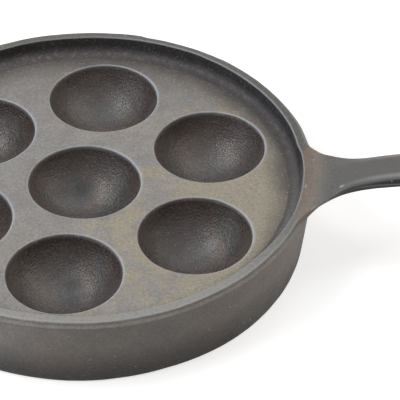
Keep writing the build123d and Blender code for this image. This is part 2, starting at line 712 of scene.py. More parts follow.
class Graph:
    """A node tree that is built through one method."""

    def __init__(self, tree: bpy.types.NodeTree) -> None:
        """Empties the node tree of a material or of the world."""
        self.tree = tree
        tree.nodes.clear()

    def node(
        self,
        kind: str,
        settings: Optional[dict[str, Any]] = None,
        inputs: Optional[dict[Union[str, int], Any]] = None,
    ) -> bpy.types.Node:
        """Adds a node.

        Args:
            kind: The node's type.
            settings: Its settings by name, which are set first.
            inputs: Its inputs by name or number: a signal, a socket, a colour or a number each.

        Returns:
            The node.
        """
        node = self.tree.nodes.new(kind)
        for name, value in (settings or {}).items():
            setattr(node, name, value)
        for key, value in (inputs or {}).items():
            self.feed(node.inputs[key], value)
        return node

    def feed(self, socket: Socket, value: Any) -> None:
        """Links or sets an input.

        Args:
            socket: The input.
            value: A signal, a socket, a colour or a number.
        """
        if isinstance(value, Signal):
            self.tree.links.new(value.socket, socket)
        elif isinstance(value, bpy.types.NodeSocket):
            self.tree.links.new(value, socket)
        elif socket.type == "RGBA":
            socket.default_value = (*value, 1.0)
        else:
            socket.default_value = value

    def background_rays(self) -> Signal:
        """1 for the rays that show the background: seen straight, mirrored or through glass."""
        path = self.node("ShaderNodeLightPath")
        straight = Signal(self, path.outputs["Is Camera Ray"])
        mirrored = Signal(self, path.outputs["Is Glossy Ray"])
        through = Signal(self, path.outputs["Is Transmission Ray"])
        return straight.most(mirrored).most(through)


class Palette(Graph):
    """Builds one material's nodes and paints its colour coat by coat. Places and waves are in millimetres."""

    def __init__(self, name: str, ground: Colour = WHITE) -> None:
        """Starts an empty material.

        Args:
            name: The material's name.
            ground: The colour under all coats.
        """
        self.material = bpy.data.materials.new(name)
        self.material.use_nodes = True
        self.colour: Union[Colour, Socket] = ground
        super().__init__(self.material.node_tree)

    @cached_property
    def place(self) -> Socket:
        """The point on the object."""
        coordinates = self.node("ShaderNodeTexCoord")
        inputs = {"Vector": coordinates.outputs["Object"], "Scale": (1 / MM, 1 / MM, 1 / MM)}
        return self.node("ShaderNodeMapping", inputs=inputs).outputs["Vector"]

    @cached_property
    def parts(self) -> tuple[Signal, Signal, Signal]:
        """How far the point lies along the handle, away from the cook, and above the stove."""
        return self.split(self.place)

    @cached_property
    def radius(self) -> Signal:
        """How far the point lies from the pan's axis."""
        across, along, _ = self.parts
        return (across * across + along * along) ** 0.5

    def split(self, vector: Socket) -> tuple[Signal, Signal, Signal]:
        """Splits a vector into its three parts."""
        parts = self.node("ShaderNodeSeparateXYZ", inputs={"Vector": vector}).outputs
        return Signal(self, parts["X"]), Signal(self, parts["Y"]), Signal(self, parts["Z"])

    def noise(
        self, wave: float, detail: float = 3.0, roughness: float = 0.55, distortion: float = 0.0
    ) -> Signal:
        """A cloudy pattern.

        Args:
            wave: Its length.
            detail: How many finer layers it has.
            roughness: How strong the finer layers are.
            distortion: How far it is stirred.

        Returns:
            Values about 0.5.
        """
        inputs = {
            "Vector": self.place,
            "Scale": 1 / wave,
            "Detail": detail,
            "Roughness": roughness,
            "Distortion": distortion,
        }
        return Signal(self, self.node("ShaderNodeTexNoise", inputs=inputs).outputs["Fac"])

    def cells(self, wave: float) -> tuple[Signal, Signal]:
        """Scattered spots.

        Args:
            wave: The spots' distance.

        Returns:
            The distance from a spot's middle, and the spot's own random number.
        """
        inputs = {"Vector": self.place, "Scale": 1 / wave, "Randomness": 1.0}
        made = self.node("ShaderNodeTexVoronoi", inputs=inputs)
        shade, _, _ = self.split(made.outputs["Color"])
        return Signal(self, made.outputs["Distance"]), shade

    def attribute(self, mark: Mark) -> Signal:
        """A number stored on the mesh, or 0 where the mesh has none."""
        return Signal(self, self.node("ShaderNodeAttribute", {"attribute_name": mark.value}).outputs["Fac"])

    def coat(self, share: Number, tint: Colour) -> None:
        """Covers a share of the colour so far, 0 to 1, with a tint."""
        inputs = {MIX_SHARE: share, MIX_FIRST: self.colour, MIX_SECOND: tint}
        self.colour = self.node("ShaderNodeMix", {"data_type": "RGBA"}, inputs).outputs[MIX_COLOUR]

    def bump(self, height: Signal, reach: float, below: Optional[Socket] = None) -> Socket:
        """Raises and sinks the surface for the light only.

        Args:
            height: The pattern.
            reach: Depth of the pattern from 0 to 1, in metres.
            below: A normal that this one adds to.

        Returns:
            The new normal's socket.
        """
        inputs: dict[Union[str, int], Any] = {"Height": height, "Distance": reach, "Strength": 1.0}
        if below is not None:
            inputs["Normal"] = below
        return self.node("ShaderNodeBump", inputs=inputs).outputs["Normal"]

    def finish(self, shader: Socket) -> bpy.types.Material:
        """Joins the shader to an output and gives back the material."""
        self.node("ShaderNodeOutputMaterial", inputs={"Surface": shader})
        return self.material


# The finishes


@dataclass(frozen=True)
class CastIron:
    """Seasoned cast iron, from dull and sooty to rubbed grey.

    Attributes:
        pan: The pan's shared sizes.
        name: The material's name.
        body: Main colour.
        dark: Colour of low places and grain.
        warm: Colour of rust and baked fat.
        rubbed: Colour of edges that touch things, also used for painted highlights and painted light.
        sooty: Colour of the places that the soot mark names.
        speck: Colour of scattered pale grains.
        cloud_reach: Depth of the slow unevenness.
        grain_reach: Depth of the sand grain.
        roughness: Dullness, 0 to 1.
        warmth: How much of the surface is warm, 0 to 1.
        cloudiness: How strongly the body is clouded, 0 to 1.
        graininess: How strongly the grain is coloured, 0 to 1.
        grain_wave: Length of the grain, in millimetres.
        patch_wave: Length of the warm patches, in millimetres.
        speck_gap: Distance between the scattered grains, in millimetres.
        sheen: How strongly the iron mirrors light, 0.5 for baked oil.
    """

    pan: PanSizes
    name: str
    body: Colour
    dark: Colour
    warm: Colour
    rubbed: Colour
    sooty: Colour
    speck: Colour
    cloud_reach: float = 0.0005
    grain_reach: float = 0.00020
    roughness: float = 0.55
    warmth: float = 0.3
    cloudiness: float = 0.22
    graininess: float = 0.42
    grain_wave: float = 1.5
    patch_wave: float = 34.0
    speck_gap: float = 3.0
    sheen: float = 0.25

    def regions(self, palette: Palette) -> None:
        """Paints what belongs to one part of the pan only; plain iron has nothing more."""

    def grain_share(self, palette: Palette) -> Number:
        """How strong the grain is, 0 to 1; plain iron has it everywhere."""
        return 1.0

    def material(self) -> bpy.types.Material:
        """Builds the material.

        Returns:
            The finished material.
        """
        palette = Palette(self.name, self.body)
        patches = palette.noise(wave=self.patch_wave)
        clouds = palette.noise(wave=11.0, detail=4.0, roughness=0.6)
        grain = palette.noise(wave=self.grain_wave, detail=3.0, roughness=0.65)
        sand = palette.noise(wave=self.grain_wave * 0.4, detail=2.0, roughness=0.6)
        pits, _ = palette.cells(self.grain_wave * 0.7)
        spot, chance = palette.cells(self.speck_gap)
        coarse = self.grain_share(palette)
        wear = palette.attribute(Mark.WEAR)
        soot = palette.attribute(Mark.SOOT)

        palette.coat(clouds.ramp(0.64, 0.36) * self.cloudiness, self.dark)
        palette.coat((patches * 0.75 + clouds * 0.25).ramp(0.46, 0.64) * self.warmth, self.warm)
        self.regions(palette)
        palette.coat(soot * (0.75 + clouds * 0.5).least(1.0), self.sooty)
        low = (grain * 0.6 + sand * 0.4).ramp(0.52, 0.34) * self.graininess * coarse
        high = (grain * 0.5 + sand * 0.5).ramp(0.52, 0.68) * self.graininess * 0.8 * coarse
        pale = spot.ramp(0.20, 0.08) * chance.ramp(0.80, 0.88) * patches.ramp(0.44, 0.58)
        # Rubbed wear together with the painted highlights that the same mark carries; its brightest parts,
        # the chips and the mouths' right sides, also get the pale speck colour
        rub_and_glint = wear * (0.6 + clouds * 0.8).least(1.0)
        palette.coat(low, self.dark)
        palette.coat(high, self.rubbed)
        palette.coat(pale * 0.7, self.speck)
        palette.coat(rub_and_glint, self.rubbed)
        palette.coat(wear.ramp(0.66, 0.85), self.speck)

        dullness = self.roughness + (clouds - 0.5) * 0.25 + (grain - 0.5) * 0.3 + soot * 0.3 - rub_and_glint * 0.15
        dullness = dullness.most(0.2).least(0.95)
        slow = palette.bump(clouds, self.cloud_reach)
        rough = palette.bump(grain * coarse, self.grain_reach * 1.7, slow)
        fine = palette.bump((pits * 0.7 + sand * 0.3) * coarse, self.grain_reach, rough)
        inputs = {
            "Base Color": palette.colour,
            "Roughness": dullness,
            "Normal": fine,
            "Specular IOR Level": self.sheen,
        }
        return palette.finish(palette.node("ShaderNodeBsdfPrincipled", inputs=inputs).outputs["BSDF"])


@dataclass(frozen=True)
class WallIron(CastIron):
    """Iron of the rim, the side wall and the handle.

    Attributes:
        name, body, dark, warm, rubbed, sooty, speck, warmth, graininess: As in plain iron.
        crown: Colour of the rim's flat top, as on the near side.
        shaded: Painted shade on the rim's top on the far side.
        grip: Colour of the handle past its root.
        cove: Colour of the hollow between deck and rim, by the handle.
        far_cove: Colour of that hollow on the far side.
        crust: Colour of the dirt at the hollow's foot.
        lip: Colour of the painted highlight along the rim's inner edge.
        calm: From the pan's widest circle to where the handle begins to be smooth, in millimetres.
        calm_run: Length in which it becomes smooth, in millimetres.
    """

    name: str = "wall_iron"
    body: Colour = paint(126, 120, 114)
    dark: Colour = paint(54, 50, 47)
    warm: Colour = paint(126, 110, 97)
    rubbed: Colour = paint(168, 168, 170)
    sooty: Colour = paint(40, 37, 36)
    speck: Colour = paint(175, 168, 155)
    warmth: float = 0.28
    graininess: float = 0.28
    crown: Colour = paint(146, 144, 140)
    shaded: Colour = paint(94, 95, 91)
    grip: Colour = paint(91, 90, 88)
    cove: Colour = paint(110, 108, 109)
    far_cove: Colour = paint(72, 69, 71)
    crust: Colour = paint(80, 74, 70)
    lip: Colour = paint(130, 131, 137)
    calm: float = 7.5
    calm_run: float = 10.0

    @property
    def top(self) -> float:
        """Height of the rim's top, in millimetres."""
        return self.pan.rim_top / MM

    @property
    def parting(self) -> float:
        """Height of the parting line, in millimetres."""
        return self.pan.parting / MM

    @property
    def inner(self) -> float:
        """Radius of the rim's inner edge, in millimetres."""
        return self.pan.inner_radius / MM

    @property
    def outer(self) -> float:
        """Largest radius of the pan, in millimetres."""
        return self.pan.outer_radius / MM

    def grain_share(self, palette: Palette) -> Number:
        """Weaker on the handle, which hands have rubbed smooth."""
        start = self.outer + self.calm
        return palette.parts[0].ramp(start, start + self.calm_run) * -0.65 + 1.0

    def regions(self, palette: Palette) -> None:
        """Paints the rim, the hollow inside it, the side wall and the handle.

        Args:
            palette: The material's palette.
        """
        drift = palette.noise(wave=16.0) * 16.0 - 8.0
        broken = palette.noise(wave=9.0).ramp(0.36, 0.60)
        self.rim(palette, drift)
        self.outside(palette, drift, broken)
        self.handle(palette, drift, broken)

    def rim(self, palette: Palette, drift: Signal) -> None:
        """Lightens the rim's top, paints shade on its far side, and mottles the hollow inside it.

        Args:
            palette: The material's palette.
            drift: A slow unevenness, in millimetres.
        """
        across, along, up = palette.parts
        away = along + across * 0.35 + drift
        widest = palette.radius.ramp(self.outer + 2.0, self.outer - 1.5)
        crown = up.ramp(self.top - 1.4, self.top - 0.2) * widest
        # Painted shade: the rim's top darker on the far side, and darker still there towards the handle
        far = away.ramp(-75.0, 70.0) * crown
        palette.coat(crown * 0.92, self.crown)
        palette.coat(far * 0.95, self.shaded)
        palette.coat(far * across.ramp(55.0, 100.0) * 0.30, self.dark)
        within = palette.radius.ramp(self.inner + 0.3, self.inner - 0.7)
        hollow = within * up.ramp(self.top - 0.4, self.top - 1.0)
        mottle = palette.noise(wave=3.5, detail=4.0, roughness=0.65)
        palette.coat(hollow, self.cove)
        palette.coat(hollow * away.ramp(2.0, 90.0), self.far_cove)
        palette.coat(hollow * mottle.ramp(0.50, 0.66) * 0.35, self.warm)
        palette.coat(hollow * mottle.ramp(0.50, 0.36) * 0.30, self.dark)
        seam = self.pan.seam_radius / MM
        palette.coat(palette.radius.ramp(seam + 2.8, seam) * 0.85, self.crust)

    def outside(self, palette: Palette, drift: Signal, broken: Signal) -> None:
        """Paints shade on the foot and on the side by the handle, and draws the lines along the outer band: a
        painted highlight on the parting ridge and painted shade lines under it and under the rim's top edge.

        Args:
            palette: The material's palette.
            drift: A slow unevenness, in millimetres.
            broken: Where a line is unbroken, 0 to 1.
        """
        across, _, up = palette.parts
        on_pan = palette.radius.ramp(self.outer + 2.5, self.outer + 1.0)
        # Painted shade: the side wall darker towards the bottom, where the floor lights it less
        foot = (up + drift * 0.4).ramp(28.0, 2.0) * on_pan
        side = up.ramp(self.parting + 0.5, self.parting - 1.5) * on_pan
        palette.coat(foot * 0.95, self.dark)
        # Painted shade on the side wall, growing towards the handle
        palette.coat(side * (across + drift).ramp(-30.0, 60.0) * 0.32, self.dark)
        outside = palette.radius.ramp(self.inner + 2.0, self.outer - 2.0)
        # Painted highlight along the parting ridge
        ridge = (up - self.parting - 0.5).size().ramp(0.7, 0.2) * (broken * 0.7 + 0.3)
        palette.coat(ridge * outside * 0.25, self.crown)
        # Painted shade lines just under the parting ridge and just under the rim's top edge
        for height, strength in ((self.parting - 0.7, 0.30), (self.top - 1.0, 0.36)):
            line = (up - height).size().ramp(0.55, 0.15) * (broken * 0.6 + 0.4)
            palette.coat(line * outside * strength, self.dark)

    def handle(self, palette: Palette, drift: Signal, broken: Signal) -> None:
        """Greys the handle, warms its root and its far edge, and paints a highlight along the rim's inner
        edge.

        Args:
            palette: The material's palette.
            drift: A slow unevenness, in millimetres.
            broken: Where a line is unbroken, 0 to 1.
        """
        across, along, up = palette.parts
        beyond = across.ramp(self.outer - 4.0, self.outer)
        handle = palette.radius.ramp(self.outer - 1.0, self.outer + 10.5) * beyond
        palette.coat(handle * 0.95, self.grip)
        root = across.ramp(self.inner - 1.5, self.inner + 1.5)
        root = root * across.ramp(self.outer + 5.5, self.outer - 2.5)
        root = root * (along.size() + drift * 0.5).ramp(34.0, 24.0)
        root = root * (palette.noise(wave=5.0).ramp(0.35, 0.60) * 0.45 + 0.55)
        root = root * palette.radius.ramp(self.inner + 0.9, self.inner + 1.6)
        root = root * (up + drift * 0.15).ramp(self.parting - 3.0, self.parting - 0.5)
        palette.coat(root * 0.8, self.warm)
        far_edge = along.ramp(3.0, 9.0) * across.ramp(self.outer + 3.5, self.outer + 15.5) * broken
        palette.coat(far_edge * 0.35, self.warm)
        # Painted highlight along the rim's inner edge, on the side by the handle and the far side
        turned = (across + along * 0.5 + drift).ramp(20.0, 95.0)
        palette.coat(palette.attribute(Mark.LIP) * turned, self.lip)


@dataclass(frozen=True)
class DeckIron(CastIron):
    """Iron of the flat deck, rubbed by use.

    Attributes:
        name, body, dark, warm, rubbed, sooty, speck, grain_reach, warmth, graininess, sheen: As in plain
            iron.
        tan: Colour of baked fat between the wells.
        cool: Colour of the bluish bloom on bare iron.
        crust: Colour of the dirt along the cove; the far side is also darkened towards it.
    """

    name: str = "deck_iron"
    body: Colour = paint(138, 135, 132)
    dark: Colour = paint(96, 92, 89)
    warm: Colour = paint(150, 143, 130)
    rubbed: Colour = paint(182, 184, 190)
    sooty: Colour = paint(60, 55, 52)
    speck: Colour = paint(186, 178, 158)
    grain_reach: float = 0.00015
    warmth: float = 0.35
    graininess: float = 0.52
    sheen: float = 0.3
    tan: Colour = paint(158, 147, 123)
    cool: Colour = paint(140, 143, 146)
    crust: Colour = paint(80, 75, 72)

    def regions(self, palette: Palette) -> None:
        """Warms the side by the handle, and darkens the far side and the ring along the cove.

        Args:
            palette: The material's palette.
        """
        across, along, _ = palette.parts
        drift = palette.noise(wave=20.0) - 0.5
        stains = palette.noise(wave=14.0, detail=4.0, roughness=0.5, distortion=0.8)
        bloom = palette.noise(wave=6.0, detail=3.0, roughness=0.6)
        tan = (across * 0.9 - (along + 34.0).size() * 0.38 + (stains - 0.5) * 240.0).ramp(-6.0, 40.0)
        palette.coat(tan * 0.62, self.tan)
        palette.coat(bloom.ramp(0.52, 0.70) * 0.22, self.cool)
        # Darker towards the far side, in the crust's colour
        far = (along + drift * 30.0).ramp(45.0, 110.0)
        palette.coat(far * 0.55, self.crust)
        side = (along + across * 0.35 + drift * 30.0).ramp(-10.0, 60.0)
        edge = self.pan.cove_start / MM
        ring = (palette.radius - (1.0 - side) * 6.0 + drift * 10.0).ramp(edge - 15.5, edge + 1.0)
        groove = (palette.radius + (bloom - 0.5) * 4.0).ramp(edge - 3.5, edge - 0.7) * 0.75
        palette.coat(ring.most(groove) * 0.9, self.crust)


@dataclass(frozen=True)
class WellIron(CastIron):
    """Iron of the bowls, browner and darker towards the mouth, with painted shade on the far side and painted
    light on the left and lower right sides.

    Attributes:
        name, body, dark, warm, rubbed, sooty, speck, grain_reach, roughness, warmth, graininess,
            grain_wave, patch_wave, speck_gap, sheen: As in plain iron.
    """

    name: str = "well_iron"
    body: Colour = paint(70, 66, 64)
    dark: Colour = paint(41, 35, 32)
    warm: Colour = paint(92, 72, 62)
    rubbed: Colour = paint(128, 125, 122)
    sooty: Colour = paint(38, 38, 41)
    speck: Colour = paint(160, 150, 136)
    grain_reach: float = 0.00014
    roughness: float = 0.30
    warmth: float = 0.7
    graininess: float = 0.75
    grain_wave: float = 1.0
    patch_wave: float = 14.0
    speck_gap: float = 2.2
    sheen: float = 0.56

    def regions(self, palette: Palette) -> None:
        """Browns the upper part of the bowl, darkens it under the mouth, paints shade on its far side and
        paints light on its left and lower right sides.

        Args:
            palette: The material's palette.
        """
        stirred = palette.noise(wave=7.0, detail=4.0, roughness=0.65)
        height = palette.parts[2] + (stirred - 0.5) * 16.0
        mouth, floor = self.pan.deck_top / MM, self.pan.well_floor / MM
        palette.coat(height.ramp(floor + 8.0, mouth - 4.0) * 0.45, self.warm)
        palette.coat(height.ramp(mouth - 17.0, mouth - 4.0) * 0.34, self.dark)
        # Painted shade: darker on the bowl's far side
        palette.coat(palette.attribute(Mark.HOOD) * 0.40, self.dark)
        # Painted light: paler on the bowl's left and lower right sides
        palette.coat(palette.attribute(Mark.FLANK) * 0.33, self.rubbed)


# The casting


@dataclass(frozen=True)
class HandleCurve:
    """The handle's sizes along its length. Those with no value here are read off the solids.

    Attributes:
        pan: The pan's shared sizes.
        eye_centre: Where the hanging hole is.
        eye_top: Height of the end's top.
        eye: Half the width of the end.
        eye_thickness: Depth of the end.
        hole_radius: Radius of the hanging hole.
        rise_start: How far inside the widest circle the climb begins.
        rise_run: Length of the climb.
        thickness: Depth of the grip.
        shoulder: Largest rounding along the top's edges.
        waist: Half the width of the grip.
        flare_reach: From the widest circle to where straight flanks would meet the waist.
        flare_softness: Rounds the flanks into the waist.
        flank_slope: Rise of a flank over its run.
        root_side: From the top to the parting line at the root.
        grip_side: The same at the grip.
        side_start: Where the side begins to deepen.
        side_run: Length in which it deepens.
        corner_run: Share of the half-width that each lower corner takes.
        root_roundness: Bulge of the lower corners at the root, as a share of their size.
        grip_roundness: The same at the grip.
        eye_spread_start: From the widest circle to where the grip begins to widen.
        bead: Reach of the parting line along the handle.
    """

    pan: PanSizes
    eye_centre: float
    eye_top: float
    eye: float
    eye_thickness: float
    hole_radius: float
    rise_start: float = 0.0020
    rise_run: float = 0.0595
    thickness: float = 0.0093
    shoulder: float = 0.0024
    waist: float = 0.0096
    flare_reach: float = 0.0165
    flare_softness: float = 0.0058
    flank_slope: float = 0.8
    root_side: float = 0.0012
    grip_side: float = 0.0051
    side_start: float = 0.0055
    side_run: float = 0.0420
    corner_run: float = 0.58
    root_roundness: float = 0.05
    grip_roundness: float = 0.20
    eye_spread_start: float = 0.0500
    bead: float = 0.00012

    @classmethod
    def from_frame(cls, pan: PanSizes) -> "HandleCurve":
        """Reads the end's sizes off the hanging hole and its solid.

        Args:
            pan: The pan's shared sizes.

        Returns:
            The sizes.
        """
        hole = next(mount for mount in frame["record"]["mounts"] if mount["name"] == "hanging_hole")
        thickness = hole["dims"]["length_mm"] * MM
        _, eye_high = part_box("handle_eye")
        return cls(
            pan=pan,
            eye_centre=hole["pos_m"][0],
            eye_top=hole["pos_m"][2] + thickness / 2,
            eye=eye_high.y,
            eye_thickness=thickness,
            hole_radius=hole["dims"]["r_mm"] * MM,
        )

    def top(self, place: float) -> float:
        """Height of the handle's top.

        Args:
            place: Where along the handle.

        Returns:
            The height.
        """
        start = self.pan.outer_radius - self.rise_start
        share = between(place, start, start + self.rise_run)
        rise = self.eye_top - self.pan.rim_top
        return self.pan.rim_top + rise * math.sin(share * math.pi / 2)

    def spread(self, place: float) -> float:
        """Share of the eye's shape at a place."""
        start = self.pan.outer_radius + self.eye_spread_start
        return eased(place, start, self.eye_centre - start)

    def half_width(self, place: float) -> float:
        """Half the handle's width.

        Args:
            place: Where along the handle.

        Returns:
            The half-width.
        """
        if place > self.eye_centre:
            return math.sqrt(max(self.eye**2 - (place - self.eye_centre) ** 2, 0.0))
        ahead = self.pan.outer_radius + self.flare_reach - place
        flank = self.flank_slope * (math.hypot(ahead, self.flare_softness) + ahead) / 2
        spread = self.spread(place)
        return (self.waist + flank) * (1 - spread) + self.eye * spread

    def thickness_at(self, place: float) -> float:
        """The handle's depth, which is less round the hanging hole."""
        return self.thickness + (self.eye_thickness - self.thickness) * self.spread(place)

    def deepened(self, place: float) -> float:
        """How far the side has deepened from the root's to the grip's, 0 to 1."""
        return eased(place, self.pan.outer_radius + self.side_start, self.side_run)

    def parting_depth(self, place: float) -> float:
        """How far the parting line lies below the handle's top."""
        side = self.root_side + (self.grip_side - self.root_side) * self.deepened(place)
        return side * self.thickness_at(place) / self.thickness

    def shoulder_at(self, place: float) -> float:
        """Radius of the top edges' rounding."""
        return min(self.shoulder, 0.8 * self.parting_depth(place), self.half_width(place) * 0.4)

    def section(self, place: float, columns: int) -> list[Point]:
        """One closed section.

        Args:
            place: Where along the handle.
            columns: Faces across the top and across the underside.

        Returns:
            Points from the top's right end over to its left, down, and back along the underside and up.
        """
        width = self.half_width(place)
        top = self.top(place)
        thickness = self.thickness_at(place)
        side = self.parting_depth(place)
        roundness = self.root_roundness + (self.grip_roundness - self.root_roundness) * self.deepened(place)
        shoulder = self.shoulder_at(place)
        corner = self.corner_run * width

        def lower(share: float) -> RowPoint:
            """A point of the lower corner, from the parting line in to the flat underside."""
            bulge = 4 * share * (1 - share) * roundness
            return (
                width - corner * share + bulge * (thickness - side),
                -side - (thickness - side) * share - bulge * corner,
            )

        def rounded(degrees: float) -> RowPoint:
            """A point of the shoulder, from the flat top at 0 degrees to the side at 90."""
            turn = math.radians(degrees)
            return width - shoulder + shoulder * math.sin(turn), shoulder * (math.cos(turn) - 1)

        flank: list[RowPoint] = [
            rounded(30.0),
            rounded(60.0),
            (width, self.bead - 0.5 * (shoulder + side)),
            (width + self.bead, self.bead - side),
            (width + self.bead, -self.bead - side),
            (width - self.bead, -4 * self.bead - side),
            lower(0.28),
        ]
        corners = [lower(0.55), lower(0.80), (width - corner, -thickness), ((width - corner) / 2, -thickness)]
        half = columns // 2
        over = [(width - shoulder) * step / half for step in range(half, -half - 1, -1)]
        points: list[Point] = [(place, across, top) for across in over]
        points += [(place, -across, top + down) for across, down in flank]
        points += [(place, -across, top + down) for across, down in corners]
        points.append((place, 0.0, top - thickness))
        points += [(place, across, top + down) for across, down in reversed(corners)]
        points += [(place, across, top + down) for across, down in reversed(flank)]
        return points


@dataclass(frozen=True)
class WornStretch:
    """A stretch where the rim's edge has given way. Turns are in degrees.

    Attributes:
        start: Where it begins.
        end: Where it ends, at a smaller turn.
        start_fade: The turn in which it begins.
        end_fade: The turn in which it ends.
        depth: How far the edge gives way.
    """

    start: float
    end: float
    start_fade: float
    end_fade: float
    depth: float

    def at(self, turn: float) -> float:
        """How far the edge gives way at a turn."""
        begun = between(turn, self.start, self.start - self.start_fade)
        return self.depth * begun * between(turn, self.end, self.end + self.end_fade)


@dataclass
class WallAndHandle:
    """The rim, the side wall and the handle, cast in one with no seam between them.

    Attributes:
        pan: The pan's shared sizes.
        curve: The handle's sizes.
        finish: The iron's finish.
        surface: The casting's unevenness.
        columns: Faces across the handle's root.
        edge: Rounding of the rim's edges.
        foot_edge: Rounding of the foot's edges.
        swell: How far the rim's top stands over its edges.
        fin: Reach of the parting line.
        outer_rows: Rows of the outer wall, each by its depth below the parting line and by how far the
            columns under the handle are drawn together there.
        mouth_flare: Rounding of the hanging hole's mouths: places by how far they lie outside the bore and
            how far they stand off the handle's face.
        calm_turn: Half the turn, in degrees, in which the columns are drawn together at all.
        collar: How far the ring before the handle's first section lies on the way to it, 0 to 1.
        first_station: From the pan's widest circle to the handle's first section.
        evenness: Share of the sections' spacing that is even, 0 to 1.
        bar_steps: Sections from the root to the hanging hole.
        end_steps: Sections round the end.
        step: The shallow step in the rim's outer edge.
        step_width: From the rim's outer edge in to where the step ends.
        dip: The dip in the rim's inner edge by the handle.
        dip_width: From the rim's inner edge out to where the dip ends.
        dip_full: From that edge out to where the dip has its full depth.
        worn_height: From the parting line down to where the step and the dip end.
        handle_gap: From the pan's widest circle to where a point counts as the handle's.
        root_turn: Half the turn, in radians, in which the handle takes the rim's outer edge away.
        inner_wear: Reach of the wear and painted highlight on the rim's inner edge.
        outer_wear: The same on its outer edge.
        root_edge_highlight_reach: Reach of the painted highlight on the top edges of the handle's root.
        shoulder_highlight_reach: The same on the shoulders past the root.
        shoulder_depth: From the handle's top down to where that ends.
        parting_wear: Reach of the wear on the handle's parting line.
        inner_wear_and_glint: How bright the rim's inner edge is painted, as wear and painted highlight, on
            the near side and on the far side.
        outer_wear_and_glint: The same of its outer edge.
        root_edge_highlight: How bright the painted highlight on the top edges of the handle's root is.
        shoulder_highlight: The same of the shoulders past the root.
        parting_shine: How rubbed the handle's parting line is.
        rim_glint_line: How far from the rim's inner edge its painted highlight ends, and how far it is full.
        soot_run: Where the soot on the handle's sides is full, from the pan's widest circle.
        handle_soot: How sooty the handle's sides are.
        under_soot: How sooty the hollow under the deck is.
        chips: Small bright chips, each with its reach.
        chip_core: Share of its reach within which a chip is full.
    """

    pan: PanSizes
    curve: HandleCurve
    finish: CastIron
    surface: CastSurface
    columns: int = 8
    edge: float = 0.0006
    foot_edge: float = 0.0011
    swell: float = 0.0001
    fin: float = 0.0001
    outer_rows: tuple[tuple[float, float], ...] = (
        (0.0005, 0.93),
        (0.0023, 0.72),
        (0.0056, 0.45),
        (0.0102, 0.55),
        (0.0157, 0.78),
        (0.0227, 1.00),
        (0.0297, 1.00),
        (0.0352, 1.00),
    )
    mouth_flare: tuple[tuple[float, float], ...] = (
        (0.0035, 0.0040),
        (0.0014, 0.0003),
        (0.0007, -0.0001),
        (0.0002, -0.0006),
        (0.0000, -0.0014),
    )
    calm_turn: float = 42.0
    collar: float = 0.55
    first_station: float = 0.0030
    evenness: float = 0.35
    bar_steps: int = 16
    end_steps: int = 6
    step: WornStretch = WornStretch(start=82.0, end=56.0, start_fade=0.8, end_fade=9.0, depth=0.0007)
    step_width: float = 0.0015
    dip: WornStretch = WornStretch(start=15.0, end=-30.0, start_fade=3.0, end_fade=14.0, depth=0.0010)
    dip_width: float = 0.0030
    dip_full: float = 0.0005
    worn_height: float = 0.0017
    handle_gap: float = 0.001
    root_turn: float = 0.26
    inner_wear: float = 0.0007
    outer_wear: float = 0.0009
    root_edge_highlight_reach: float = 0.0010
    shoulder_highlight_reach: float = 0.0022
    shoulder_depth: float = 0.002
    parting_wear: float = 0.0009
    inner_wear_and_glint: tuple[float, float] = (0.10, 0.30)
    outer_wear_and_glint: tuple[float, float] = (0.60, 0.20)
    root_edge_highlight: float = 0.5
    shoulder_highlight: float = 0.42
    parting_shine: float = 0.45
    rim_glint_line: tuple[float, float] = (0.0009, 0.0003)
    soot_run: float = 0.012
    handle_soot: float = 0.85
    under_soot: float = 0.75
    chips: tuple[tuple[Point, float], ...] = (
        ((0.1108, -0.0043, 0.0410), 0.0012),
        ((0.1290, -0.0098, 0.0475), 0.0011),
        ((0.1150, 0.0180, 0.0411), 0.0011),
    )
    chip_core: float = 0.45

    @property
    def root_edge(self) -> float:
        """Half the turn, in radians, that the handle's columns take up on the spun wall."""
        return math.tau / self.pan.turn_steps * self.columns / 2

    def on_handle(self, place: Vector) -> bool:
        """Whether a point belongs to the handle, beyond the pan's widest circle."""
        return place.x > self.pan.outer_radius + self.handle_gap

    def profile(self) -> list[RowPoint]:
        """The wall's section as radius and height.

        Returns:
            Points from the deck's seam over the rim, down the outside and up the inside.
        """
        pan = self.pan
        rows: list[RowPoint] = [
            (pan.seam_radius, pan.deck_top - pan.groove),
            (pan.cove_start - pan.seam_inset / 2, pan.deck_top - pan.groove / 3),
        ]
        for degrees in (0.0, 22.5, 45.0, 67.5, 90.0):
            turn = math.radians(degrees)
            across, up = pan.cove * math.sin(turn), pan.cove * (1 - math.cos(turn))
            rows.append((pan.cove_start + across, pan.deck_top + up))
        lean = pan.rim_top - pan.deck_top - pan.cove
        rows += [
            (pan.inner_radius - 0.57 * pan.rim_draft, pan.rim_top - 0.57 * lean),
            (pan.inner_radius - self.edge / 6, pan.rim_top - 1.5 * self.edge),
            (pan.inner_radius + self.edge / 6, pan.rim_top - 0.5 * self.edge),
            (pan.inner_radius + 0.8 * self.edge, pan.rim_top),
            (pan.inner_radius + 0.3 * pan.rim_width, pan.rim_top + self.swell),
            (pan.inner_radius + 0.6 * pan.rim_width, pan.rim_top + self.swell),
        ]
        rows += self.root_rows()
        rows += [self.outer_row(depth) for depth, _ in self.outer_rows[3:]]
        return [*rows, *self.foot_rows()]

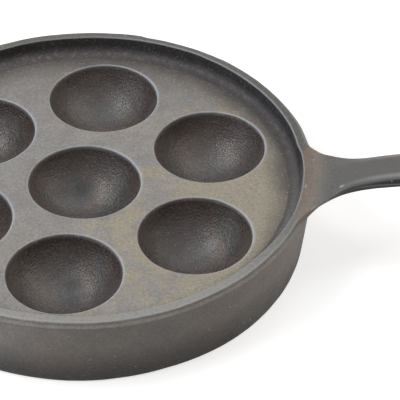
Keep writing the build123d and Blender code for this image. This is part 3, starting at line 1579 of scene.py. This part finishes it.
    def root_rows(self) -> list[RowPoint]:
        """The rows that the handle grows from, from the rim's outer edge down.

        Returns:
            Nine rows as radius and height.
        """
        pan = self.pan
        band = pan.outer_radius - pan.top_radius
        return [
            (pan.top_radius - 1.2 * self.edge, pan.rim_top),
            (pan.top_radius - self.edge / 6, pan.rim_top - 0.5 * self.edge),
            (pan.top_radius + self.edge / 6, pan.rim_top - 1.5 * self.edge),
            (pan.top_radius + 0.53 * band, pan.rim_top - 0.68 * pan.rim_band),
            (pan.outer_radius + self.fin, pan.parting + 2.5 * self.fin),
            (pan.outer_radius + self.fin, pan.parting - self.fin),
            *(self.outer_row(depth) for depth, _ in self.outer_rows[:3]),
        ]

    def outer_row(self, depth: float) -> RowPoint:
        """A row of the outer wall, by its depth below the parting line."""
        height = self.pan.parting - depth
        return self.pan.foot_radius + self.pan.skirt_taper * height / self.pan.parting, height

    def foot_rows(self) -> list[RowPoint]:
        """The rows of the foot and of the side wall's inner face.

        Returns:
            Rows as radius and height, from the foot's outer edge up to the deck's seam.
        """
        pan, edge = self.pan, self.foot_edge
        rows = [
            (pan.foot_radius, edge),
            (pan.foot_radius - 0.35 * edge, 0.2 * edge),
            (pan.foot_radius - edge, 0.0),
            (pan.foot_inner_radius + edge, 0.0),
            (pan.foot_inner_radius + 0.2 * edge, 0.2 * edge),
            (pan.foot_inner_radius - 0.1 * edge, edge),
        ]
        fillet = pan.deck_underside - pan.skirt_cove
        for share in (0.38, 0.77, 1.0):
            rows.append((pan.foot_inner_radius - pan.skirt_draft * share, fillet * share))
        near = 0.3 * pan.skirt_cove
        rows.append((pan.skirt_inner_radius - near, pan.deck_underside - near))
        rows.append((pan.seam_radius, pan.deck_underside))
        return rows

    def stations(self) -> list[float]:
        """Where along the handle its sections stand: closest together at the root and round the end.

        Returns:
            Places along the handle, from the root to the tip.
        """
        start = self.pan.outer_radius + self.first_station
        length = self.curve.eye_centre - start
        places = []
        for step in range(self.bar_steps):
            share = step / self.bar_steps
            crowded = (1 - math.cos(math.pi * share)) / 2
            places.append(start + length * (self.evenness * share + (1 - self.evenness) * crowded))
        for step in range(self.end_steps):
            turn = math.tau / 4 * step / self.end_steps
            places.append(self.curve.eye_centre + self.curve.eye * math.sin(turn))
        return places

    def gathered(self, height: float) -> float:
        """How far the columns under the handle are drawn towards its middle at a height.

        Args:
            height: A row's height.

        Returns:
            The share of the full angle that the handle's edge has there.
        """
        depth = self.pan.parting - height
        rows = ((0.0, 1.0), *self.outer_rows)
        for (high, first), (low, second) in zip(rows, rows[1:]):
            if high <= depth <= low:
                return first + (second - first) * (depth - high) / (low - high)
        return 1.0

    def gather_columns(self, piece: Piece) -> None:
        """Draws the outer wall's columns together under the handle, along the wall itself.

        Args:
            piece: The spun wall.
        """
        edge, calm = self.root_edge, math.radians(self.calm_turn)
        for vertex in piece.data.vertices:
            radius = off_axis(vertex.co)
            turn = math.atan2(vertex.co.y, vertex.co.x)
            if radius < self.pan.foot_radius or abs(turn) >= calm:
                continue
            share = self.gathered(vertex.co.z)
            if abs(turn) <= edge + TURN_SLACK:
                drawn = turn * share
            else:
                beyond = (abs(turn) - edge) / (calm - edge)
                drawn = math.copysign(edge * share + (calm - edge * share) * beyond, turn)
            vertex.co.x, vertex.co.y = polar(radius, drawn)

    def cut_root(self, piece: Piece) -> list[int]:
        """Opens the wall where the handle grows from it.

        Args:
            piece: The wall.

        Returns:
            The opening's vertex numbers, from the right end of its top over to the left and round.
        """
        rows = self.root_rows()
        bottom, top = rows[-1][1], rows[0][1]
        least = self.pan.top_radius - self.edge

        def inside(centre: Vector, _: Vector) -> bool:
            """Whether a face lies within the root."""
            turn = abs(math.atan2(centre.y, centre.x))
            outside = bottom < centre.z < top and off_axis(centre) > least
            return outside and turn < self.root_edge * self.gathered(centre.z) - TURN_SLACK

        Bench.select_faces(piece, inside)
        bpy.ops.mesh.delete(type="FACE")
        bpy.ops.object.mode_set(mode="OBJECT")
        loops = Bench.open_loops(piece)
        log.info("root opening: %s", [len(loop) for loop in loops])
        loop = max(loops, key=len)
        places = [piece.data.vertices[number].co for number in loop]
        start = max(range(len(loop)), key=lambda k: (round(places[k].z, 4), places[k].y))
        loop = loop[start:] + loop[:start]
        places = places[start:] + places[:start]
        if places[1].y > places[-1].y or places[1].z < places[-1].z:
            loop = [loop[0], *reversed(loop[1:])]
        return loop

    def build(self) -> Piece:
        """Models the wall and draws the handle out of it.

        Returns:
            The finished piece.
        """
        piece = Bench.turned("wall_and_handle", self.profile(), self.pan.turn_steps)
        self.gather_columns(piece)
        opening = self.cut_root(piece)
        sections = [self.curve.section(place, self.columns) for place in self.stations()]
        collar = [
            tuple(piece.data.vertices[number].co * (1 - self.collar) + Vector(far) * self.collar)
            for number, far in zip(opening, sections[0])
        ]
        rings = Bench.extrude_through(piece, opening, [collar, *sections])
        self.close_tip(piece, rings[-1])
        Bench.tidy(piece, MERGE / 5)
        limit = self.pan.seam_radius + NEAR
        Bench.sharpen(piece, {vertex.index for vertex in piece.data.vertices if off_axis(vertex.co) < limit})
        Bench.subdivide(piece, 2)
        self.bore_hole(piece)
        Bench.mark(piece, Mark.WEAR, self.wear_at)
        Bench.mark(piece, Mark.SOOT, self.soot_at)
        Bench.mark(piece, Mark.LIP, self.rim_glint_at)
        self.wear_away(piece)
        self.surface.lay_on(piece)
        Bench.stand(piece)
        Bench.smooth(piece)
        return piece

    def wear_away(self, piece: Piece) -> None:
        """Gives the rim its two uneven places: a shallow step far out, and a dip inside by the handle.

        Args:
            piece: The piece after it is subdivided.
        """
        pan = self.pan
        lowest, widest = pan.parting - self.worn_height, pan.outer_radius + self.handle_gap
        dip_end, dip_full = pan.inner_radius + self.dip_width, pan.inner_radius + self.dip_full
        for vertex in piece.data.vertices:
            place = vertex.co
            radius = off_axis(place)
            turn = math.degrees(math.atan2(place.y, place.x))
            if place.z < lowest or radius > widest:
                continue
            push = 0.0
            if radius > pan.top_radius - self.step_width:
                push = -self.step.at(turn)
            elif radius < dip_end:
                push = self.dip.at(turn) * between(radius, dip_end, dip_full)
            vertex.co.x += push * place.x / radius
            vertex.co.y += push * place.y / radius

    def close_tip(self, piece: Piece, ring: Sequence[int]) -> None:
        """Closes the handle's last ring.

        Args:
            piece: The piece.
            ring: The ring's vertex numbers.
        """
        shape = Bench.edit(piece)
        for number in ring:
            shape.verts[number].select = True
        shape.select_flush_mode()
        bmesh.update_edit_mesh(piece.data)
        bpy.ops.mesh.edge_face_add()
        bpy.ops.object.mode_set(mode="OBJECT")

    def bore_hole(self, piece: Piece) -> None:
        """Cuts the hanging hole with a flared cutter, so that its mouths are rounded.

        Args:
            piece: The piece after it is subdivided.
        """
        curve = self.curve
        top, bottom = curve.eye_top, curve.eye_top - curve.eye_thickness
        upper = [(0.0, top + self.mouth_flare[0][1])]
        upper += [(curve.hole_radius + out, top + up) for out, up in self.mouth_flare]
        lower = [(curve.hole_radius + out, bottom - up) for out, up in reversed(self.mouth_flare)]
        lower.append((0.0, bottom - self.mouth_flare[0][1]))
        steps = self.pan.turn_steps // 2
        cutter = Bench.turned("hole_cutter", [*upper, *lower], steps, False, curve.eye_centre)
        Bench.apply(piece, "BOOLEAN", operation="DIFFERENCE", object=cutter, solver="EXACT")
        bpy.data.objects.remove(cutter)

    def far_share(self, place: Vector) -> float:
        """How far a point lies towards the far side of the pan: 0 near, 1 far."""
        return between(place.y + 0.35 * place.x, -0.020, 0.040)

    def off_edge(self, place: Vector, radius: float, drop: float = 0.0) -> float:
        """How far a point lies from a circle round the axis, a drop below the rim's top."""
        return math.hypot(off_axis(place) - radius, place.z - self.pan.rim_top + drop)

    def wear_at(self, place: Vector) -> float:
        """How rubbed the iron is at a point, with painted highlights on the rim's edges and the handle's
        shoulders.

        Args:
            place: The point.

        Returns:
            0 to 1.
        """
        core = self.chip_core
        chips = max(between(math.dist(place, chip), size, core * size) for chip, size in self.chips)
        return max(chips, self.handle_wear(place) if self.on_handle(place) else self.rim_wear(place))

    def handle_wear(self, place: Vector) -> float:
        """How rubbed the handle is on its parting line, with painted highlights on its shoulders and on the
        root's sharper edge.

        Args:
            place: The point.

        Returns:
            0 to 1.
        """
        curve = self.curve
        inward = curve.half_width(place.x) - abs(place.y)
        below = curve.top(place.x) - place.z
        held = eased(place.x, self.pan.outer_radius + curve.side_start, curve.side_run * 0.8)
        parting = between(abs(below - curve.parting_depth(place.x)) + abs(inward), self.parting_wear, 0.0)
        # Painted highlights on the rounded shoulders past the root and on the root's top edges
        shoulder = between(abs(inward - 0.9 * curve.shoulder), self.shoulder_highlight_reach, 0.0)
        if below >= self.shoulder_depth:
            shoulder = 0.0
        edge = between(abs(inward) + below, self.root_edge_highlight_reach, 0.0)
        return max(
            parting * self.parting_shine,
            shoulder * self.shoulder_highlight * held,
            edge * self.root_edge_highlight * (1.0 - held),
        )

    def rim_wear(self, place: Vector) -> float:
        """How rubbed the rim's two edges are, with a painted highlight whose strength differs between the
        near side and the far side. The handle takes the outer one away at its root.

        Args:
            place: The point.

        Returns:
            0 to 1.
        """
        inner = between(self.off_edge(place, self.pan.inner_radius + self.edge / 3), self.inner_wear, 0.0)
        outer = between(self.off_edge(place, self.pan.top_radius - self.edge / 2), self.outer_wear, 0.0)
        if abs(math.atan2(place.y, place.x)) < self.root_turn:
            outer = 0.0
        # Painted highlight: the edges' brightness changes from the near side to the far side
        used = self.far_share(place)
        return max(
            worn * (near + (far - near) * used)
            for worn, (near, far) in ((inner, self.inner_wear_and_glint), (outer, self.outer_wear_and_glint))
        )

    def rim_glint_at(self, place: Vector) -> float:
        """How much of the painted highlight along the rim's inner edge a point has."""
        off = self.off_edge(place, self.pan.inner_radius + self.edge / 3, self.edge / 3)
        return between(off, *self.rim_glint_line)

    def soot_at(self, place: Vector) -> float:
        """How sooty the iron is at a point: inside the rim, on the handle's sides and underneath.

        Args:
            place: The point.

        Returns:
            0 to 1.
        """
        pan, curve = self.pan, self.curve
        radius = off_axis(place)
        if self.on_handle(place):
            below = curve.top(place.x) - place.z
            shoulder = curve.shoulder_at(place.x)
            begun = between(radius, pan.outer_radius + self.handle_gap, pan.outer_radius + self.soot_run)
            return self.handle_soot * begun * between(below, 0.55 * shoulder, 1.05 * shoulder)
        if radius < pan.inner_radius + self.edge and place.z > pan.deck_top - MM / 2:
            height = (place.z - pan.deck_top) / (pan.rim_top - pan.deck_top)
            wall = between(height, 0.15, 0.55) * between(height, 0.99, 0.94)
            return wall * (0.25 + 0.75 * between(place.y + 0.15 * place.x, 0.005, 0.035))
        if radius < pan.foot_inner_radius + MM / 2 and place.z < pan.deck_underside + MM:
            return self.under_soot
        return 0.0

    def dress(self, piece: Piece) -> None:
        """Gives the piece its finish and its place on the frame.

        Args:
            piece: The piece.
        """
        piece.data.materials.clear()
        piece.data.materials.append(self.finish.material())
        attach(piece, "root")
        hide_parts("rim", "skirt", "handle_root", "handle_grip", "handle_eye")


@dataclass
class Deck:
    """The flat plate with its seven mouths.

    Attributes:
        pan: The pan's shared sizes.
        finish: The iron's finish.
        surface: The casting's unevenness.
        overlap: How far the plate reaches past the wall's seam.
        lip_step: Height of the face between the ledge and the lip's rounding.
        lip_rows: A lip's rounding: places by how far they lie outside the mouth and below the deck's top.
        top_rows: Rows of faces from a lip out to the next well's.
        mouth_soot: How sooty the mouths' inner faces and the underside are.
        soot_depth: How far below the deck's top that soot begins, and where it is full.
        wear_out: From a mouth out to the middle of its rubbed line.
        wear_down: From the deck's top down to that line's middle.
        highlight_tilt: How much lower it lies on a mouth's right side, for the painted highlight there.
        wear_reach: Reach of that line.
        highlight_spread: How much further it reaches on a mouth's right side, for the painted highlight
            there.
        wear_lack: How much less far it reaches on a mouth's far side.
        wear_shine: How rubbed that line is.
        highlight_turn: How much brighter it is on a mouth's right side, as a painted highlight, and how much
            dimmer on its left.
    """

    pan: PanSizes
    finish: CastIron
    surface: CastSurface
    overlap: float = 0.00005
    lip_step: float = 0.0008
    lip_rows: tuple[tuple[float, float], ...] = (
        (0.00002, 0.00070),
        (0.00022, 0.00035),
        (0.00055, 0.00010),
        (0.00100, 0.0),
        (0.00200, 0.0),
    )
    top_rows: int = 4
    mouth_soot: float = 0.8
    soot_depth: tuple[float, float] = (0.0003, 0.0009)
    wear_out: float = 0.0004
    wear_down: float = 0.00015
    highlight_tilt: float = 0.0002
    wear_reach: float = 0.0006
    highlight_spread: float = 0.0003
    wear_lack: float = 0.0001
    wear_shine: float = 0.64
    highlight_turn: float = 0.22

    @property
    def edge_radius(self) -> float:
        """Radius where the plate ends."""
        return self.pan.seam_radius + self.overlap

    def reach(self, centre: RowPoint, turn: float) -> float:
        """How far the deck's share round a well reaches: half-way to its neighbours, or to the plate's edge.

        Args:
            centre: The well's centre.
            turn: The direction, in radians.

        Returns:
            The distance from the well's centre.
        """
        heading = polar(1.0, turn)
        along = centre[0] * heading[0] + centre[1] * heading[1]
        apart = centre[0] ** 2 + centre[1] ** 2 - self.edge_radius**2
        reach = -along + math.sqrt(along**2 - apart)
        for other in self.pan.well_places():
            gap = (other[0] - centre[0], other[1] - centre[1])
            facing = gap[0] * heading[0] + gap[1] * heading[1]
            if facing > LEAST_GAP:
                reach = min(reach, (gap[0] ** 2 + gap[1] ** 2) / 2 / facing)
        return reach

    def border(self, centre: RowPoint) -> list[RowPoint]:
        """The border of the deck's share round a well, with a place on each corner at the plate's edge.

        Args:
            centre: The well's centre.

        Returns:
            One place for each step round the well.
        """
        border = [polar(self.reach(centre, turn), turn, centre) for turn in self.pan.turns]
        for number in range(self.pan.ring_wells):
            corner = polar(self.edge_radius, math.tau * number / self.pan.ring_wells)
            if math.dist(corner, centre) < self.pan.pitch_radius:
                nearest = min(range(len(border)), key=lambda k: math.dist(border[k], corner))
                border[nearest] = corner
        return border

    def share(self, centre: RowPoint) -> Piece:
        """Models the deck's share round one well, from its underside through the mouth to its top.

        Args:
            centre: The well's centre.

        Returns:
            An open piece that meets its neighbours edge to edge.
        """
        pan = self.pan
        border = self.border(centre)
        under = [(x, y, pan.deck_underside) for x, y in border]
        step_up = pan.ledge + self.lip_step
        rows = [
            (pan.seat_radius, pan.deck_underside),
            (pan.seat_radius, pan.ledge),
            (pan.bowl_radius_at(pan.ledge), pan.ledge),
            (pan.bowl_radius_at(step_up), step_up),
            *((pan.mouth_radius + out, pan.deck_top - down) for out, down in self.lip_rows),
        ]
        rings = [[(*polar(radius, turn, centre), height) for turn in pan.turns] for radius, height in rows]
        last = rings[-1]
        for row in range(1, self.top_rows + 1):
            share = row / self.top_rows
            rings.append([
                (x + (bx - x) * share, y + (by - y) * share, pan.deck_top)
                for (x, y, _), (bx, by) in zip(last, border)
            ])
        piece = Bench.strand("deck_share", under)
        Bench.extrude_through(piece, range(len(under)), rings)
        return piece

    def build(self) -> Piece:
        """Joins the shares and closes the plate's edge.

        Returns:
            The finished piece.
        """
        shares = [self.share(centre) for centre in self.pan.well_places()]
        Bench.clear()
        for share in shares:
            share.select_set(True)
        bpy.context.view_layer.objects.active = shares[0]
        bpy.ops.object.join()
        piece = bpy.context.object
        piece.name = piece.data.name = "deck_plate"
        Bench.tidy(piece, 2 * MERGE)
        loops = Bench.open_loops(piece)
        log.info("deck edges to close: %s", [len(loop) for loop in loops])
        Bench.edit(piece, Pick.EDGES)
        bpy.ops.mesh.select_non_manifold()
        bpy.ops.mesh.bridge_edge_loops()
        bpy.ops.mesh.select_all(action="SELECT")
        bpy.ops.mesh.normals_make_consistent(inside=False)
        bpy.ops.object.mode_set(mode="OBJECT")
        self.round_edge(piece)
        Bench.mark(piece, Mark.WEAR, self.wear_at)
        Bench.mark(piece, Mark.SOOT, self.soot_at)
        self.surface.lay_on(piece)
        Bench.smooth(piece)
        return piece

    def round_edge(self, piece: Piece) -> None:
        """Lowers the plate's top edge to the wall's seam, which makes the shallow groove beside the cove.

        Args:
            piece: The plate.
        """
        for vertex in piece.data.vertices:
            if vertex.co.z > self.pan.deck_top - NEAR and off_axis(vertex.co) > self.edge_radius - NEAR:
                vertex.co.z -= self.pan.groove

    def wear_at(self, place: Vector) -> float:
        """How rubbed the deck is at a point, brightest on the lips, with a painted highlight on each mouth's
        right side.

        Args:
            place: The point.

        Returns:
            0 to 1.
        """
        centre = min(self.pan.well_places(), key=lambda middle: math.dist((place.x, place.y), middle))
        nearest = math.dist((place.x, place.y), centre)
        facing = (place.x - centre[0]) / max(nearest, MM)
        # Painted highlight: the rubbed line on each lip is brighter, wider and lower on the mouth's right
        # side
        right = max(0.0, facing)
        far = max(0.0, (place.y - centre[1]) / max(nearest, MM))
        outward = nearest - self.pan.mouth_radius - self.wear_out
        upward = place.z - self.pan.deck_top + self.wear_down + self.highlight_tilt * right
        off = math.hypot(outward, upward)
        reach = self.wear_reach + self.highlight_spread * right - self.wear_lack * far
        return (self.wear_shine + self.highlight_turn * facing) * between(off, reach, 0.0)

    def soot_at(self, place: Vector) -> float:
        """How sooty the deck is at a point, 0 to 1: inside the mouths and underneath."""
        return self.mouth_soot * between(self.pan.deck_top - place.z, *self.soot_depth)

    def dress(self, piece: Piece) -> None:
        """Gives the piece its finish and its place on the frame.

        Args:
            piece: The piece.
        """
        piece.data.materials.clear()
        piece.data.materials.append(self.finish.material())
        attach(piece, "root")
        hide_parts("deck")


@dataclass
class Wells:
    """The seven half-round bowls.

    Attributes:
        pan: The pan's shared sizes.
        finish: The iron's finish.
        surface: The casting's unevenness.
        rows: Faces from a bowl's lowest point to the lip.
        outer_rows: Faces from its lowest point outside to the collar under the deck.
        collar: The collar under the lip: places by how far they lie outside the seat and above the deck's
            underside.
        collar_drop: From the deck's underside down to where the outside's arc ends.
        seat_gap: From the plate's hole in to the bowl's upper edge.
        outer_soot: How sooty a bowl's outside is.
        stains: Places where batter has burnt on, each with its reach and its strength.
        stain_core: Share of its reach within which a stain is full.
    """

    pan: PanSizes
    finish: CastIron
    surface: CastSurface
    rows: int = 22
    outer_rows: int = 16
    collar: tuple[tuple[float, float], ...] = (
        (-0.0001, 0.0003),
        (0.0018, 0.00005),
        (0.0009, -0.00025),
        (-0.0001, -0.0009),
        (-0.0009, -0.0020),
    )
    collar_drop: float = 0.0034
    seat_gap: float = 0.0002
    outer_soot: float = 0.8
    stains: tuple[tuple[Point, float, float], ...] = (
        ((-0.0045, 0.0165, 0.0120), 0.0105, 0.95),
        ((-0.0125, 0.0130, 0.0130), 0.0085, 0.55),
        ((0.0015, -0.0545, 0.0100), 0.0090, 0.85),
        ((0.0020, -0.0625, 0.0074), 0.0085, 0.75),
        ((0.0479, -0.0223, 0.0121), 0.0130, 0.60),
        ((-0.0020, 0.0846, 0.0120), 0.0100, 0.30),
    )
    stain_core: float = 0.23

    @property
    def nodes(self) -> list[str]:
        """The solids' names: the middle one's, then the ring's."""
        return ["well_centre", *(f"well_{number}" for number in range(1, self.pan.ring_wells + 1))]

    def arc(self, sphere: float, top: float, rows: int) -> list[RowPoint]:
        """A bowl's arc from its lowest point up to a height.

        Args:
            sphere: The arc's radius.
            top: The height where it ends.
            rows: Steps along it.

        Returns:
            Points as radius and height.
        """
        end = math.acos((self.pan.bowl_height - top) / sphere)
        return [
            (sphere * math.sin(end * k / rows), self.pan.bowl_height - sphere * math.cos(end * k / rows))
            for k in range(rows + 1)
        ]

    def profile(self) -> list[RowPoint]:
        """A bowl's section: up the inside, over, down past the fillet under the deck, and in.

        Returns:
            Points as radius and height.
        """
        pan = self.pan
        inside = self.arc(pan.bowl_radius, pan.ledge, self.rows)
        collar = [(pan.seat_radius - self.seat_gap, pan.ledge)]
        collar += [(pan.seat_radius + out, pan.deck_underside + up) for out, up in self.collar]
        outside = self.arc(pan.bowl_radius + pan.wall, pan.deck_underside - self.collar_drop, self.outer_rows)
        return [*inside, *collar, *reversed(outside)]

    def build(self) -> list[Piece]:
        """Models one bowl and copies it to the other places.

        Returns:
            The seven pieces.
        """
        first = Bench.turned(f"{self.nodes[0]}_bowl", self.profile(), self.pan.turn_steps, closed=False)
        pieces = [first]
        for node, centre in zip(self.nodes[1:], self.pan.well_places()[1:]):
            Bench.take(first)
            bpy.ops.object.duplicate()
            copy = bpy.context.object
            copy.name = copy.data.name = f"{node}_bowl"
            Bench.edit(copy, everything=True)
            bpy.ops.transform.translate(value=(*centre, 0.0))
            bpy.ops.object.mode_set(mode="OBJECT")
            pieces.append(copy)
        for piece, centre in zip(pieces, self.pan.well_places()):
            Bench.mark(piece, Mark.SOOT, lambda place: self.soot_at(place, centre))
            Bench.mark(piece, Mark.FLANK, lambda place: self.side_light_at(place, centre))
            Bench.mark(piece, Mark.HOOD, lambda place: self.far_shade_at(place, centre))
            self.surface.lay_on(piece)
            Bench.smooth(piece)
        return pieces

    def side_light_at(self, place: Vector, centre: RowPoint) -> float:
        """How far a point lies on a bowl's left side or lower right side, where light is painted.

        Args:
            place: The point.
            centre: The bowl's centre.

        Returns:
            0 to 1.
        """
        across = (place.x - centre[0]) / self.pan.mouth_radius
        along = (place.y - centre[1]) / self.pan.mouth_radius
        left = between(-across, 0.55, 0.95) * between(along + 0.4 * across, 0.5, 0.1)
        right = between(0.8 * across - 0.6 * along, 0.5, 0.95)
        return max(0.6 * left, right)

    def far_shade_at(self, place: Vector, centre: RowPoint) -> float:
        """How far a point lies on a bowl's far side, where shade is painted: 0 to 1."""
        return between((place.y - centre[1]) / self.pan.mouth_radius, 0.15, 0.75)

    def soot_at(self, place: Vector, centre: RowPoint) -> float:
        """How sooty a bowl is at a point: its outside, which hangs over the flame, and its stains.

        Args:
            place: The point.
            centre: The bowl's centre.

        Returns:
            0 to 1.
        """
        reach = math.dist(place, (*centre, self.pan.bowl_height))
        if reach > self.pan.bowl_radius + self.pan.wall / 2:
            return self.outer_soot
        return max(
            strength * between(math.dist(place, middle), size, self.stain_core * size)
            for middle, size, strength in self.stains
        )

    def dress(self, pieces: Sequence[Piece]) -> None:
        """Gives the bowls their finish and their place on the frame.

        Args:
            pieces: The seven pieces.
        """
        iron = self.finish.material()
        for piece, node in zip(pieces, self.nodes):
            piece.data.materials.clear()
            piece.data.materials.append(iron)
            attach(piece, "root")
            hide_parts(node)


# The studio


@dataclass(frozen=True)
class Lamp:
    """A soft flat lamp.

    Attributes:
        name: Its name.
        place: Where it hangs.
        size: Its breadth and its height.
        power: Its light, in watts.
        tint: Its colour.
    """

    name: str
    place: Point
    size: RowPoint
    power: float
    tint: Colour = WHITE

    def hang(self, aim: Vector) -> None:
        """Adds the lamp.

        Args:
            aim: The point that it faces.
        """
        Bench.clear()
        bpy.ops.object.light_add(type="AREA", location=self.place)
        lamp = bpy.context.object
        lamp.name = self.name
        lamp.data.shape = "RECTANGLE"
        lamp.data.size, lamp.data.size_y = self.size
        lamp.data.energy = self.power
        lamp.data.color = self.tint
        lamp.rotation_euler = (aim - Vector(self.place)).to_track_quat("-Z", "Y").to_euler()


@dataclass
class Studio:
    """A white floor, soft lamps and the camera.

    Attributes:
        aim: What the camera looks at.
        azimuth: The camera's turn from straight in front, in degrees.
        elevation: Its height over the horizon, in degrees.
        distance: Its distance from the aim.
        roll: Its tilt, in degrees.
        lens: Its focal length, in millimetres.
        sensor: Its film's width, in millimetres.
        nearest: The nearest that it sees.
        floor_size: Breadth of the floor.
        floor_drop: How far the floor lies under the pan's foot.
        sky: Strength of the light from all round.
        white: Colour of the background.
        paper: Colour of the floor as the pan's light meets it.
        shown_paper: Colour of the floor as it is seen, which takes the shadow.
        glow: Light that the seen floor gives of its own, which keeps it white.
        lamp_aim: What the lamps face.
        lamps: The lamps.
    """

    aim: Point = (0.0552, 0.0281, 0.0)
    azimuth: float = 5.99
    elevation: float = 40.5
    distance: float = 1.1565
    roll: float = 0.1
    lens: float = 200.83
    sensor: float = 36.0
    nearest: float = 0.01
    floor_size: float = 6.0
    floor_drop: float = 0.0002
    sky: float = 0.17
    white: Colour = WHITE
    paper: Colour = (0.88, 0.88, 0.88)
    shown_paper: Colour = (0.55, 0.55, 0.55)
    glow: float = 0.66
    lamp_aim: Point = (0.05, 0.0, 0.03)
    lamps: Sequence[Lamp] = field(default_factory=lambda: (
        Lamp("key_lamp", (-0.60, -0.24, 0.92), (0.66, 0.26), 6.8),
        Lamp("top_lamp", (0.06, 0.10, 1.30), (0.45, 0.45), 2.7, (0.86, 0.93, 1.0)),
        Lamp("window_lamp", (-0.98, -0.36, 0.28), (0.8, 0.4), 4.6, (0.74, 0.85, 1.0)),
        Lamp("warm_lamp", (0.88, 0.36, 0.66), (1.2, 1.2), 7.8, (1.0, 0.93, 0.86)),
    ))

    def lay_floor(self) -> None:
        """Adds the floor, white to the camera and with the pan's shadow on it."""
        Bench.clear()
        bpy.ops.mesh.primitive_plane_add(size=self.floor_size, location=(0.0, 0.0, -self.floor_drop))
        floor = bpy.context.object
        floor.name = "studio_floor"
        palette = Palette("studio_floor_white")
        paper = palette.node("ShaderNodeBsdfDiffuse", inputs={"Color": self.paper})
        matt = palette.node("ShaderNodeBsdfDiffuse", inputs={"Color": self.shown_paper})
        glow = palette.node("ShaderNodeEmission", inputs={"Color": self.white, "Strength": self.glow})
        shown = palette.node("ShaderNodeAddShader", inputs={0: matt.outputs[0], 1: glow.outputs[0]})
        inputs = {0: palette.background_rays(), 1: paper.outputs[0], 2: shown.outputs[0]}
        chosen = palette.node("ShaderNodeMixShader", inputs=inputs)
        floor.data.materials.append(palette.finish(chosen.outputs[0]))

    def light(self) -> None:
        """Sets the light from all round and hangs the lamps."""
        world = bpy.data.worlds.new("studio")
        world.use_nodes = True
        bpy.context.scene.world = world
        graph = Graph(world.node_tree)
        strength = graph.background_rays() * (1.0 - self.sky) + self.sky
        back = graph.node("ShaderNodeBackground", inputs={"Color": self.white, "Strength": strength})
        graph.node("ShaderNodeOutputWorld", inputs={"Surface": back.outputs[0]})
        for lamp in self.lamps:
            lamp.hang(Vector(self.lamp_aim))

    def set_camera(self) -> None:
        """Adds the camera at the photograph's angle."""
        turn, lift = math.radians(self.azimuth), math.radians(self.elevation)
        back = Vector((math.sin(turn) * math.cos(lift), -math.cos(turn) * math.cos(lift), math.sin(lift)))
        Bench.clear()
        bpy.ops.object.camera_add(location=Vector(self.aim) + back * self.distance)
        camera = bpy.context.object
        camera.name = "photo_camera"
        camera.data.lens = self.lens
        camera.data.sensor_width = self.sensor
        camera.data.clip_start = self.nearest
        facing = (-back).to_track_quat("-Z", "Y")
        rolled = Matrix.Rotation(math.radians(self.roll), 4, "Z")
        camera.rotation_euler = (facing.to_matrix().to_4x4() @ rolled).to_euler()
        bpy.context.scene.camera = camera
        bpy.context.scene.view_settings.view_transform = "Standard"


def main() -> None:
    """Builds the pan and its studio."""
    logging.basicConfig(level=logging.INFO, format="%(name)s: %(message)s")
    pan = PanSizes.from_frame()
    surface = CastSurface()
    wall = WallAndHandle(pan, HandleCurve.from_frame(pan), WallIron(pan), surface)
    wall_piece = wall.build()
    wall.dress(wall_piece)
    deck = Deck(pan, DeckIron(pan), surface)
    deck_piece = deck.build()
    deck.dress(deck_piece)
    wells = Wells(pan, WellIron(pan), surface)
    well_pieces = wells.build()
    wells.dress(well_pieces)
    for piece in (wall_piece, deck_piece, *well_pieces):
        log.info("%s: %d faces", piece.name, len(piece.data.polygons))
    studio = Studio()
    studio.lay_floor()
    studio.light()
    studio.set_camera()
    Bench.clear()


if __name__ == "__main__":
    main()
